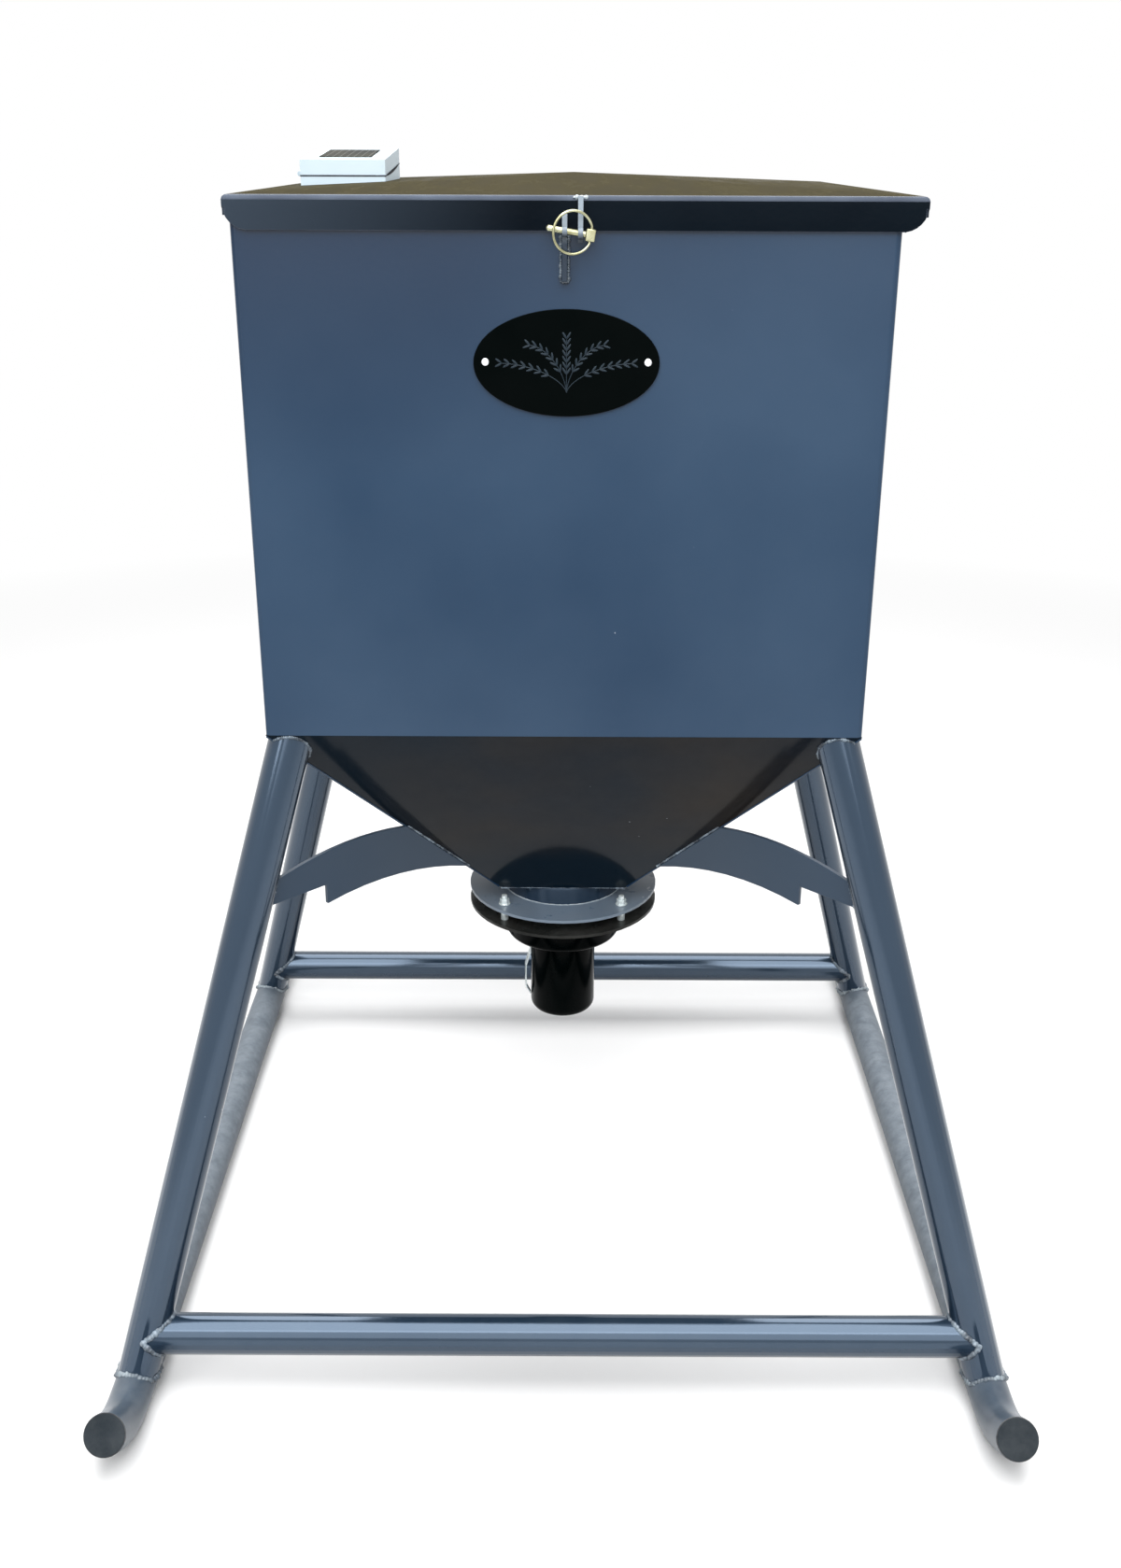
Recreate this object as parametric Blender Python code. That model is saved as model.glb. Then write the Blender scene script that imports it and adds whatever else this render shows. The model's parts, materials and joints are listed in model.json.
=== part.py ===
"""Spin feeder: a square steel hopper on four splayed pipe legs and two skids.

A motor in a can under the hopper turns a plate that throws the feed out through
the gap between two round plates. Lengths are in metres, +Z is up, the front of
the feeder faces -Y and the origin is on the ground under the hopper's centre.
"""

from math import atan2, cos, hypot, pi, radians, sin, sqrt, tan

import bmesh
import bpy
from mathutils import Matrix, Vector

# Clearance left between pieces that touch
GAP = 0.0003

# Pipe frame
PIPE = 0.0603
PIPE_WALL = 0.0039
PIPE_SIDES = 24
LEG_INSET = 0.0340
FOOT_OUT = 0.2294
FOOT_FORWARD = 0.1770
LEG_EAR_HEIGHT = 0.012
RAIL_Z = 0.1050
SKID_STRAIGHT = 0.6345
SKID_BEND_RADIUS = 0.1500
SKID_BEND = radians(35)
SKID_BEND_STEPS = 6
SKID_TIP = 0.0380
CAP_FLANGE = 0.0025
CAP_STEM = 0.0120
CAP_MARGIN = 0.0012

# Arched plates between the legs and the hopper's hips, as distance from the top of the leg's
# centre line and drop below the hopper's bottom edge
BRACE_THICKNESS = 0.00635
BRACE_TOP_LEG = (0.0469, 0.2215)
BRACE_TOP_CROWN = (-0.0761, 0.2027)
BRACE_TOP_HIP_DROP = 0.2107
BRACE_NOTCH = (-0.0396, 0.2580)
BRACE_NOTCH_DEPTH = 0.0310
BRACE_LOWER_MIDDLE = (-0.1437, 0.2831)
BRACE_LOWER_HIP_DROP = 0.3185

# Hopper of folded sheet
SHEET = 0.0030
HOPPER = 0.8290
HOPPER_BOTTOM = 1.0080
OUTLET = 0.2050
CONE_HEIGHT = 0.3840

# Lid, a shallow pyramid with a lip on every side, the side ones shallower
LID_OVERHANG = 0.0352
LID_EDGE_Z = 1.7115
LID_LIP = 0.0410
LID_SIDE_LIP = 0.0240
LID_CROWN = 0.0205
LID_SHIFT_X = 0.0112
LID_FRONT_CLEARANCE = 0.0020
LID_CORNER = 0.0300
LID_CORNER_START = radians(-6)
LID_CORNER_STEPS = 6

# Lid hinges
HINGE_X = 0.2500
HINGE_BARREL = 0.0180
HINGE_PIN = 0.0095
HINGE_HALF = 0.0400
HINGE_PLATE = 0.0050
HINGE_LEAF = 0.0280
HINGE_DROP = 0.0020

# Latch on the front: two tabs on edge, a pin through both and its ring
TAB = 0.0064
HOPPER_TAB_X = -0.0019
HOPPER_TAB_DROP = 0.0995
HOPPER_TAB_TOP_DROP = 0.0210
LID_TAB_X = 0.0176
LID_TAB_LENGTH = 0.0545
TAB_REACH = 0.0150
TAB_LUG = 0.0070
PIN = 0.0078
PIN_OUT = 0.0195
PIN_TIP_X = -0.0243
PIN_HEAD_X = 0.0298
PIN_HEAD_DROP = 0.0449
PIN_SLOPE = radians(9.1)
PIN_HEAD = (0.0120, 0.0120, 0.0150)
PIN_CLEARANCE = 0.0008
RING = 0.0500
RING_WIRE = 0.0034
RING_ANGLE = radians(17.5)
RING_HOLE_CLEARANCE = 0.0004
RING_STRAIGHT = 0.0200
RING_STEPS = 26

# Outlet under the hopper
ROUND_STEPS = 48
COLLAR = 0.2032
COLLAR_WALL = 0.0040
FLANGE = 0.3200
FLANGE_THICKNESS = 0.0050
COLLAR_HEIGHT = 0.0325
THROW_GAP = 0.0230
MOTOR_PLATE_BORE = 0.0240
DRUM = 0.1940
DRUM_WALL = 0.0030
DRUM_HEIGHT = 0.0615
DRUM_EDGE = 0.0080
CAN = 0.1120
CAN_WALL = 0.0030
CAN_HEIGHT = 0.1512
CAN_EDGE = 0.0140
FUNNEL_SHEET = 0.0020
FUNNEL_NECK = 0.0600
FUNNEL_NECK_HEIGHT = 0.0060
FUNNEL_ABOVE_SPINNER = 0.0050

# Bolts that hang the motor plate under the flange
BOLT_CIRCLE = 0.2760
BOLT = 0.0095
BOLT_CLEARANCE = 0.0005
BOLT_ACROSS = 0.0143
BOLT_HEAD = 0.0060
NUT_HEIGHT = 0.0082
NUT_FLANGE = 0.0200
NUT_FLANGE_HEIGHT = 0.0018
BOLT_TIP = 0.0060
SPACER = 0.0130
BOLT_STEPS = 16

# Motor and spinner
MOTOR = 0.0760
MOTOR_LENGTH = 0.1050
SHAFT = 0.0080
SHAFT_CLEARANCE = 0.0003
SHAFT_IN_MOTOR = 0.0300
SPINNER = 0.1800
SPINNER_THICKNESS = 0.0020
SPINNER_CLEARANCE = 0.0025
SPINNER_HUB = 0.0220
VANES = 4
VANE_THICKNESS = 0.0020
VANE_HEIGHT = 0.0090
VANE_START = 0.0260

# Sprung clip that holds the can under the drum
CLIP_WIDTH = 0.0140
CLIP_STRIP = 0.0020
CLIP_ANGLE = radians(186)
CLIP_FOOT = 0.0130
CLIP_WAIST_DROP = 0.0410
CLIP_BULGE = 0.0080
CLIP_BULGE_TOP_DROP = 0.0670
CLIP_BULGE_BOTTOM_DROP = 0.1110
CLIP_TAIL_DROP = 0.1250

# Name plate
PLATE_WIDTH = 0.2357
PLATE_HEIGHT = 0.1324
PLATE_THICKNESS = 0.0025
PLATE_X = 0.0012
PLATE_DROP = 0.1991

# Control box on the lid's left facet
BOX_WIDTH = 0.1200
BOX_LENGTH = 0.2070
BOX_INSET = 0.1061
BOX_FORWARD = 0.0956
BOX_SEAM_HEIGHT = 0.0165
BOX_TILT = radians(4.1)
COVER_HEIGHT = 0.0205
COVER_WALL = 0.0025
TRAY_DEPTH = 0.0055
BOX_LUG = 0.0070
BOX_LUG_LENGTH = 0.0100
BOX_LUG_SPACING = 0.1500
BOX_PIVOT = 0.0030
PANEL_WIDTH = 0.0740
PANEL_LENGTH = 0.1240
PANEL_FRONT = 0.0210
PANEL_X = 0.0014
PANEL_THICKNESS = 0.0020
TIMER = (0.0800, 0.1100)
TIMER_ABOVE_SEAM = 0.0120
TIMER_FRONT = 0.0480

# Heights and half widths worked out from the sizes above
HALF = HOPPER / 2
LID = HOPPER + LID_OVERHANG
OUTLET_HALF = OUTLET / 2
OUTLET_Z = HOPPER_BOTTOM - CONE_HEIGHT
FOOT_X = HALF + FOOT_OUT
FOOT_Y = HALF + FOOT_FORWARD
SKID_Z = PIPE / 2
RIM_Z = LID_EDGE_Z - SHEET - GAP
LIP_BOTTOM_Z = LID_EDGE_Z - LID_LIP
LID_FRONT_Y = -HALF - LID_FRONT_CLEARANCE - SHEET
LID_REAR_Y = LID_FRONT_Y + LID
LID_MIDDLE = Vector((LID_SHIFT_X, (LID_FRONT_Y + LID_REAR_Y) / 2, LID_EDGE_Z + LID_CROWN))
SLOPE = atan2(HOPPER_BOTTOM - OUTLET_Z, HALF - OUTLET_HALF)
HINGE_Y = LID_REAR_Y + GAP + HINGE_BARREL / 2
HINGE_Z = LIP_BOTTOM_Z - HINGE_DROP
FLANGE_TOP_Z = OUTLET_Z - COLLAR_HEIGHT
FLANGE_BOTTOM_Z = FLANGE_TOP_Z - FLANGE_THICKNESS
PLATE_TOP_Z = FLANGE_BOTTOM_Z - THROW_GAP
PLATE_BOTTOM_Z = PLATE_TOP_Z - FLANGE_THICKNESS
DRUM_BOTTOM_Z = PLATE_BOTTOM_Z - DRUM_HEIGHT
CAN_BOTTOM_Z = DRUM_BOTTOM_Z - CAN_HEIGHT
SPINNER_Z = PLATE_TOP_Z + SPINNER_CLEARANCE
PIN_Y = -HALF - PIN_OUT
PIN_HEAD_Z = LID_EDGE_Z - PIN_HEAD_DROP
PLATE_Z = LID_EDGE_Z - PLATE_DROP
BOX_X = LID_MIDDLE.x - LID / 2 + BOX_INSET
BOX_FRONT_Y = LID_MIDDLE.y - BOX_FORWARD
BOX_SEAM_FRONT_Z = LID_EDGE_Z + BOX_SEAM_HEIGHT
LEG_TOP = HALF - LEG_INSET
SIGNS = ((-1, -1, "front_left"), (1, -1, "front_right"), (-1, 1, "rear_left"), (1, 1, "rear_right"))


def clear_scene():
    for obj in list(bpy.data.objects):
        bpy.data.objects.remove(obj)


def material(name, colour, metallic, roughness):
    found = bpy.data.materials.get(name)
    if found:
        return found
    made = bpy.data.materials.new(name)
    made.use_nodes = True
    shader = made.node_tree.nodes["Principled BSDF"]
    shader.inputs["Base Color"].default_value = (*colour, 1)
    shader.inputs["Metallic"].default_value = metallic
    shader.inputs["Roughness"].default_value = roughness
    return made


def blue_paint():
    return material("blue_grey_paint", (0.055, 0.095, 0.150), 0.0, 0.35)


def black_gloss():
    return material("black_gloss_paint", (0.008, 0.008, 0.009), 0.0, 0.15)


def dark_lid_paint():
    return material("dark_lid_paint", (0.020, 0.024, 0.032), 0.0, 0.12)


def zinc():
    return material("zinc_plate", (0.62, 0.66, 0.68), 1.0, 0.35)


def brass_zinc():
    return material("yellow_zinc", (0.62, 0.52, 0.22), 1.0, 0.30)


def white_plastic():
    return material("white_plastic", (0.75, 0.80, 0.85), 0.0, 0.45)


def black_rubber():
    return material("black_rubber", (0.03, 0.03, 0.035), 0.0, 0.75)


def dark_glass():
    return material("solar_glass", (0.02, 0.025, 0.03), 0.0, 0.08)


def finish(name, mesh_data, look, smooth=0.0):
    """The object of a bmesh, with its faces turned out and, where smooth is an angle, shaded smooth."""
    bmesh.ops.recalc_face_normals(mesh_data, faces=mesh_data.faces[:])
    mesh = bpy.data.meshes.new(name)
    mesh_data.to_mesh(mesh)
    mesh_data.free()
    if smooth:
        mesh.shade_smooth()
        mesh.set_sharp_from_angle(angle=smooth)
    if look:
        mesh.materials.append(look)
    obj = bpy.data.objects.new(name, mesh)
    bpy.context.scene.collection.objects.link(obj)
    return obj


def hull_of_rings(rings, closed=False):
    """A bmesh skinned over rings of equally many points, end to end or round a loop."""
    made = bmesh.new()
    loops = [[made.verts.new(point) for point in ring] for ring in rings]
    pairs = list(zip(loops, loops[1:]))
    if closed:
        pairs.append((loops[-1], loops[0]))
    for first, second in pairs:
        count = len(first)
        for i in range(count):
            j = (i + 1) % count
            made.faces.new((first[i], first[j], second[j], second[i]))
    if not closed:
        made.faces.new(reversed(loops[0]))
        made.faces.new(loops[-1])
    return made


def prism(outline, thickness, place):
    """A bmesh of a flat outline of (u, v) points, thickened to both sides and put where place says."""
    half = thickness / 2
    rings = [[place(u, v, side) for u, v in outline] for side in (-half, half)]
    return hull_of_rings(rings)


def block(low, high):
    made = bmesh.new()
    bmesh.ops.create_cube(made, size=1)
    size = [b - a for a, b in zip(low, high)]
    middle = [(a + b) / 2 for a, b in zip(low, high)]
    bmesh.ops.scale(made, vec=size, verts=made.verts)
    bmesh.ops.translate(made, vec=middle, verts=made.verts)
    return made


def turned(profile, steps, start=0.0):
    """A bmesh turned about Z from a closed outline of (radius, height) points, none on the axis."""
    rings = []
    for i in range(steps):
        angle = start + 2 * pi * i / steps
        rings.append([(r * cos(angle), r * sin(angle), z) for r, z in profile])
    return hull_of_rings(rings, closed=True)


def washer(inner, outer, low, high, steps=ROUND_STEPS):
    return turned([(inner, low), (outer, low), (outer, high), (inner, high)], steps)


def disc(radius, low, high, steps, start=0.0):
    """A bmesh of a solid cylinder about Z."""
    angles = [start + 2 * pi * i / steps for i in range(steps)]
    rings = [[(radius * cos(a), radius * sin(a), z) for a in angles] for z in (low, high)]
    return hull_of_rings(rings)


def pipe_rings(points, sides, diameter, side_axis=None):
    """Rings of a round bar along points, each ring square to the path, with a flat facing down.

    The flats, not the corners, lie at the stated diameter.
    """
    corner = diameter / 2 / cos(pi / sides)
    rings = []
    for i, point in enumerate(points):
        before = points[max(i - 1, 0)]
        after = points[min(i + 1, len(points) - 1)]
        along = (after - before).normalized()
        across = side_axis or along.orthogonal().normalized()
        across = (across - along * across.dot(along)).normalized()
        up = along.cross(across)
        ring = []
        for k in range(sides):
            angle = 2 * pi * (k + 0.5) / sides
            ring.append(point + (across * cos(angle) + up * sin(angle)) * corner)
        rings.append(ring)
    return rings


def pipe(points, outer, inner, side_axis=None):
    """A bmesh of a hollow pipe, open at both ends."""
    outside = pipe_rings(points, PIPE_SIDES, outer, side_axis)
    inside = pipe_rings(points, PIPE_SIDES, inner, side_axis)
    return hull_of_rings(outside + inside[::-1], closed=True)


def bar(points, diameter, side_axis=None, sides=PIPE_SIDES):
    return hull_of_rings(pipe_rings(points, sides, diameter, side_axis))


def cutter(name, mesh_data):
    """An object that only cuts, so it's left out of the model."""
    obj = finish(name, mesh_data, None)
    obj.hide_render = True
    obj.display_type = "WIRE"
    return obj


def boolean(obj, other, operation):
    added = obj.modifiers.new(f"{operation.lower()}_{other.name}", "BOOLEAN")
    added.operation = operation
    added.object = other
    added.solver = "EXACT"


def cut(obj, *others):
    for other in others:
        boolean(obj, other, "DIFFERENCE")


def join(obj, *others):
    """Joins helper shapes to a piece. They are helpers, so they're left out by themselves."""
    for other in others:
        other.hide_render = True
        other.display_type = "WIRE"
        boolean(obj, other, "UNION")


def arc(centre, radius, start, end, steps):
    """Points of an arc in a plane, both ends included."""
    points = []
    for i in range(steps + 1):
        angle = start + (end - start) * i / steps
        points.append((centre[0] + radius * cos(angle), centre[1] + radius * sin(angle)))
    return points


def parabola(a, b, c, start, end, steps):
    """Points of the shallow arch through three (u, v) points, between two values of u."""
    points = []
    for i in range(steps + 1):
        u = start + (end - start) * i / steps
        first = a[1] * (u - b[0]) * (u - c[0]) / ((a[0] - b[0]) * (a[0] - c[0]))
        second = b[1] * (u - a[0]) * (u - c[0]) / ((b[0] - a[0]) * (b[0] - c[0]))
        third = c[1] * (u - a[0]) * (u - b[0]) / ((c[0] - a[0]) * (c[0] - b[0]))
        points.append((u, first + second + third))
    return points


def leg_line(sx, sy):
    """The two ends of a leg's centre line: on its skid's centre line and under the hopper's corner."""
    foot = Vector((sx * FOOT_X, sy * FOOT_Y, SKID_Z))
    top = Vector((sx * LEG_TOP, sy * LEG_TOP, HOPPER_BOTTOM))
    return foot, top


def leg_point(sx, sy, height):
    foot, top = leg_line(sx, sy)
    return foot.lerp(top, (height - foot.z) / (top.z - foot.z))


def hip_radius(height):
    """How far from the axis, along the diagonal, the hopper's sloped corner lies at a height."""
    half = OUTLET_HALF + (height - OUTLET_Z) / tan(SLOPE)
    return half * sqrt(2)


def square(half, height):
    return [(x * half, y * half, height) for x, y in ((-1, -1), (1, -1), (1, 1), (-1, 1))]


def hopper_envelope():
    """The room that the hopper takes up, with its clearance, for cutting what is welded to it."""
    aside = GAP / sin(SLOPE)
    seat = HOPPER_BOTTOM - 2 * GAP
    rings = [
        square(OUTLET_HALF + aside, OUTLET_Z),
        square(HALF + aside, seat),
        square(HOPPER, seat),
        square(HOPPER, HOPPER_BOTTOM + HOPPER),
    ]
    return cutter("hopper_envelope", hull_of_rings(rings))


def skid_path(sx):
    """Centre line of a skid, from its rear tip to its front one. Both ends curl up."""
    half = []
    for i in range(SKID_BEND_STEPS + 1):
        angle = SKID_BEND * i / SKID_BEND_STEPS
        out = SKID_STRAIGHT + SKID_BEND_RADIUS * sin(angle)
        up = SKID_Z + SKID_BEND_RADIUS * (1 - cos(angle))
        half.append((out, up))
    out, up = half[-1]
    half.append((out + SKID_TIP * cos(SKID_BEND), up + SKID_TIP * sin(SKID_BEND)))
    rear = [Vector((sx * FOOT_X, out, up)) for out, up in reversed(half)]
    front = [Vector((sx * FOOT_X, -out, up)) for out, up in half]
    return rear + front


def make_skids():
    bore = PIPE - 2 * PIPE_WALL
    for sx, side in ((-1, "left"), (1, "right")):
        path = skid_path(sx)
        finish(f"skid_{side}", pipe(path, PIPE, bore, Vector((1, 0, 0))), blue_paint(), radians(30))
        for end, inward, name in ((path[-1], path[-2], "front"), (path[0], path[1], "rear")):
            out = (end - inward).normalized()
            face = out * (GAP + CAP_FLANGE)
            flange = bar([end + out * GAP, end + face], PIPE - 2 * CAP_MARGIN, Vector((1, 0, 0)))
            stem = bar([end - out * CAP_STEM, end + face / 2], bore - 2 * GAP, Vector((1, 0, 0)))
            cap = finish(f"skid_cap_{name}_{side}", flange, black_rubber(), radians(30))
            join(cap, finish(f"cap_stem_{name}_{side}", stem, None))


def make_legs(envelope):
    """Legs coped over the skids and under the hopper. Returns a cutter the size of each leg."""
    bore = PIPE - 2 * PIPE_WALL
    skid_room = {}
    for sx in (-1, 1):
        ends = [Vector((sx * FOOT_X, y, SKID_Z)) for y in (SKID_STRAIGHT, -SKID_STRAIGHT)]
        room = bar(ends, PIPE + 2 * GAP, Vector((1, 0, 0)))
        skid_room[sx] = cutter(f"skid_room_{sx}", room)
    below = block((-FOOT_X * 2, -FOOT_Y * 2, -PIPE), (FOOT_X * 2, FOOT_Y * 2, SKID_Z + LEG_EAR_HEIGHT))
    floor_room = cutter("floor_room", below)
    leg_rooms = {}
    for sx, sy, name in SIGNS:
        foot, top = leg_line(sx, sy)
        past = (top - foot).normalized() * PIPE
        tube = pipe([foot, top + past], PIPE, bore)
        leg = finish(f"leg_{name}", tube, blue_paint(), radians(30))
        cut(leg, skid_room[sx], floor_room, envelope)
        leg_rooms[sx, sy] = cutter(f"leg_room_{name}", bar([foot, top], PIPE + 2 * GAP))
    return leg_rooms


def make_rails(leg_rooms):
    bore = PIPE - 2 * PIPE_WALL
    for sy, name in ((-1, "front"), (1, "rear")):
        ends = [leg_point(sx, sy, RAIL_Z) for sx in (-1, 1)]
        tube = pipe(ends, PIPE, bore, Vector((0, 1, 0)))
        rail = finish(f"rail_{name}", tube, blue_paint(), radians(30))
        cut(rail, leg_rooms[-1, sy], leg_rooms[1, sy])


def brace_point(place):
    """Distance from the axis and height of a point given from the leg's top and the hopper's bottom."""
    return LEG_TOP * sqrt(2) + place[0], HOPPER_BOTTOM - place[1]


def hip_point(drop):
    height = HOPPER_BOTTOM - drop
    return hip_radius(height) + 2 * GAP, height


def brace_outline():
    """The arched plate's outline, as distance from the axis and height, from the leg and back."""
    top_hip = hip_point(BRACE_TOP_HIP_DROP)
    low_hip = hip_point(BRACE_LOWER_HIP_DROP)
    notch = brace_point(BRACE_NOTCH)
    leg_end = hypot(*leg_point(1, 1, notch[1]).xy)
    step = (notch[0], notch[1] - BRACE_NOTCH_DEPTH)
    at_leg, crown = brace_point(BRACE_TOP_LEG), brace_point(BRACE_TOP_CROWN)
    top = parabola(at_leg, crown, top_hip, leg_end, top_hip[0], 10)
    low = parabola(step, brace_point(BRACE_LOWER_MIDDLE), low_hip, low_hip[0], step[0], 8)
    return top + low + [notch, (leg_end, notch[1])]


def make_braces(leg_rooms):
    outline = brace_outline()
    for sx, sy, name in SIGNS:
        out = Vector((sx, sy, 0)).normalized()
        across = Vector((-out.y, out.x, 0))

        def place(u, v, side, out=out, across=across):
            return out * u + across * side + Vector((0, 0, v))

        brace = finish(f"brace_{name}", prism(outline, BRACE_THICKNESS, place), blue_paint())
        cut(brace, leg_rooms[sx, sy])


def make_walls():
    """Four upright sheets. The front and rear ones run the full width."""
    inner = HALF - SHEET
    side = inner - GAP
    sheets = {
        "front": ((-HALF, -HALF), (HALF, -inner)),
        "rear": ((-HALF, inner), (HALF, HALF)),
        "left": ((-HALF, -side), (-inner, side)),
        "right": ((inner, -side), (HALF, side)),
    }
    for name, (low, high) in sheets.items():
        sheet = block((*low, HOPPER_BOTTOM), (*high, RIM_Z))
        finish(f"hopper_wall_{name}", sheet, blue_paint())


def make_slopes():
    """Four sloped sheets, mitred at the hips, that narrow to the outlet."""
    thick = SHEET / sin(SLOPE)
    top = HOPPER_BOTTOM - GAP
    wide = HALF - GAP / tan(SLOPE)
    for name, quarter in (("front", 0), ("right", 1), ("rear", 2), ("left", 3)):
        turn = Matrix.Rotation(quarter * pi / 2, 4, "Z")
        rings = []
        for half, height in ((OUTLET_HALF, OUTLET_Z), (wide, top)):
            outer, inner = half, half - thick
            ring = [
                (-outer + GAP, -outer, height),
                (outer - GAP, -outer, height),
                (inner - GAP, -inner, height),
                (-inner + GAP, -inner, height),
            ]
            rings.append([turn @ Vector(point) for point in ring])
        finish(f"hopper_slope_{name}", hull_of_rings(rings), blue_paint())


def make_outlet():
    radius = COLLAR / 2
    inner = radius - COLLAR_WALL
    low, high = FLANGE_TOP_Z + GAP, OUTLET_Z - GAP
    finish("outlet_collar", washer(inner, radius, low, high), blue_paint(), radians(30))
    outer = FLANGE / 2
    flange_mesh = washer(inner, outer, FLANGE_BOTTOM_Z, FLANGE_TOP_Z)
    flange = finish("outlet_flange", flange_mesh, blue_paint(), radians(30))
    plate_mesh = washer(MOTOR_PLATE_BORE / 2, outer, PLATE_BOTTOM_Z, PLATE_TOP_Z)
    plate = finish("motor_plate", plate_mesh, black_gloss(), radians(30))
    for sx, sy, name in SIGNS:
        x, y = bolt_place(sx, sy)
        hole = disc(BOLT / 2 + BOLT_CLEARANCE, PLATE_BOTTOM_Z - PIPE, FLANGE_TOP_Z + PIPE, BOLT_STEPS)
        bmesh.ops.translate(hole, vec=(x, y, 0), verts=hole.verts)
        drill = cutter(f"bolt_hole_{name}", hole)
        cut(flange, drill)
        cut(plate, drill)
    make_funnel(inner)


def make_funnel(room):
    """A cone in the collar that leads the feed to the middle of the spinner."""
    wide = room - GAP
    top = OUTLET_Z - GAP
    neck = FUNNEL_NECK / 2
    end = SPINNER_Z + SPINNER_THICKNESS + VANE_HEIGHT + FUNNEL_ABOVE_SPINNER
    start = end + FUNNEL_NECK_HEIGHT
    inside = [(neck, end), (neck, start), (wide - FUNNEL_SHEET, top)]
    spout = neck + FUNNEL_SHEET
    outside = [(wide, top), (wide, top - FUNNEL_SHEET), (spout, start - FUNNEL_SHEET), (spout, end)]
    finish("feed_funnel", turned(inside + outside, ROUND_STEPS), zinc(), radians(30))


def bolt_place(sx, sy):
    return sx * BOLT_CIRCLE / 2 * cos(pi / 4), sy * BOLT_CIRCLE / 2 * sin(pi / 4)


def make_fasteners():
    """A bolt, a spacer and a flanged nut at each corner of the two round plates."""
    across = BOLT_ACROSS / 2 / cos(pi / 6)
    bore = BOLT / 2 + BOLT_CLEARANCE
    for sx, sy, name in SIGNS:
        place = Matrix.Translation((*bolt_place(sx, sy), 0))
        head_top = PLATE_BOTTOM_Z - GAP
        nut_low = FLANGE_TOP_Z + GAP
        nut_top = nut_low + NUT_FLANGE_HEIGHT + NUT_HEIGHT
        shank = disc(BOLT / 2, head_top - BOLT_HEAD / 2, nut_top + BOLT_TIP, BOLT_STEPS)
        head = finish(f"bolt_{name}", disc(across, head_top - BOLT_HEAD, head_top, 6), zinc())
        join(head, finish(f"bolt_shank_{name}", shank, None))
        low, high = PLATE_TOP_Z + GAP, FLANGE_BOTTOM_Z - GAP
        sleeve = washer(bore, SPACER / 2, low, high, BOLT_STEPS)
        spacer = finish(f"spacer_{name}", sleeve, zinc(), radians(30))
        wide = NUT_FLANGE / 2
        step = nut_low + NUT_FLANGE_HEIGHT
        foot = [(bore, nut_low), (wide, nut_low), (wide, step), (bore, step)]
        nut = finish(f"nut_{name}", turned(foot, BOLT_STEPS), zinc())
        middle = nut_low + NUT_FLANGE_HEIGHT / 2
        hexagon = finish(f"nut_hexagon_{name}", disc(across, middle, nut_top, 6), None)
        drill = cutter(f"nut_bore_{name}", disc(bore, nut_low - BOLT, nut_top + BOLT, BOLT_STEPS))
        join(nut, hexagon)
        cut(nut, drill)
        for obj in (head, spacer, nut, hexagon, drill, bpy.data.objects[f"bolt_shank_{name}"]):
            obj.matrix_world = place


def make_motor():
    """The drum and the can hang under the motor plate and hide the motor."""
    radius, wall = DRUM / 2, DRUM_WALL
    top = PLATE_BOTTOM_Z - GAP
    can_room = CAN / 2 - CAN_WALL
    low = DRUM_BOTTOM_Z
    edge = arc((radius - DRUM_EDGE, low + DRUM_EDGE), DRUM_EDGE, -pi / 2, 0, 4)
    inner_edge = arc((radius - DRUM_EDGE, low + DRUM_EDGE), DRUM_EDGE - wall, 0, -pi / 2, 4)
    drum = [(can_room, low), *edge, (radius, top), (radius - wall, top), *inner_edge]
    drum.append((can_room, low + wall))
    finish("motor_drum", turned(drum, ROUND_STEPS), black_gloss(), radians(30))
    outer, inner = CAN / 2, can_room
    foot = CAN_BOTTOM_Z
    rim = DRUM_BOTTOM_Z - GAP
    edge = arc((outer - CAN_EDGE, foot + CAN_EDGE), CAN_EDGE, -pi / 2, 0, 4)
    inner_edge = arc((outer - CAN_EDGE, foot + CAN_EDGE), CAN_EDGE - CAN_WALL, 0, -pi / 2, 4)
    drain = MOTOR_PLATE_BORE / 4
    can = [(drain, foot), *edge, (outer, rim), (inner, rim), *inner_edge, (drain, foot + CAN_WALL)]
    finish("motor_can", turned(can, ROUND_STEPS), black_gloss(), radians(30))
    make_drive()
    make_clip()


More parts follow.
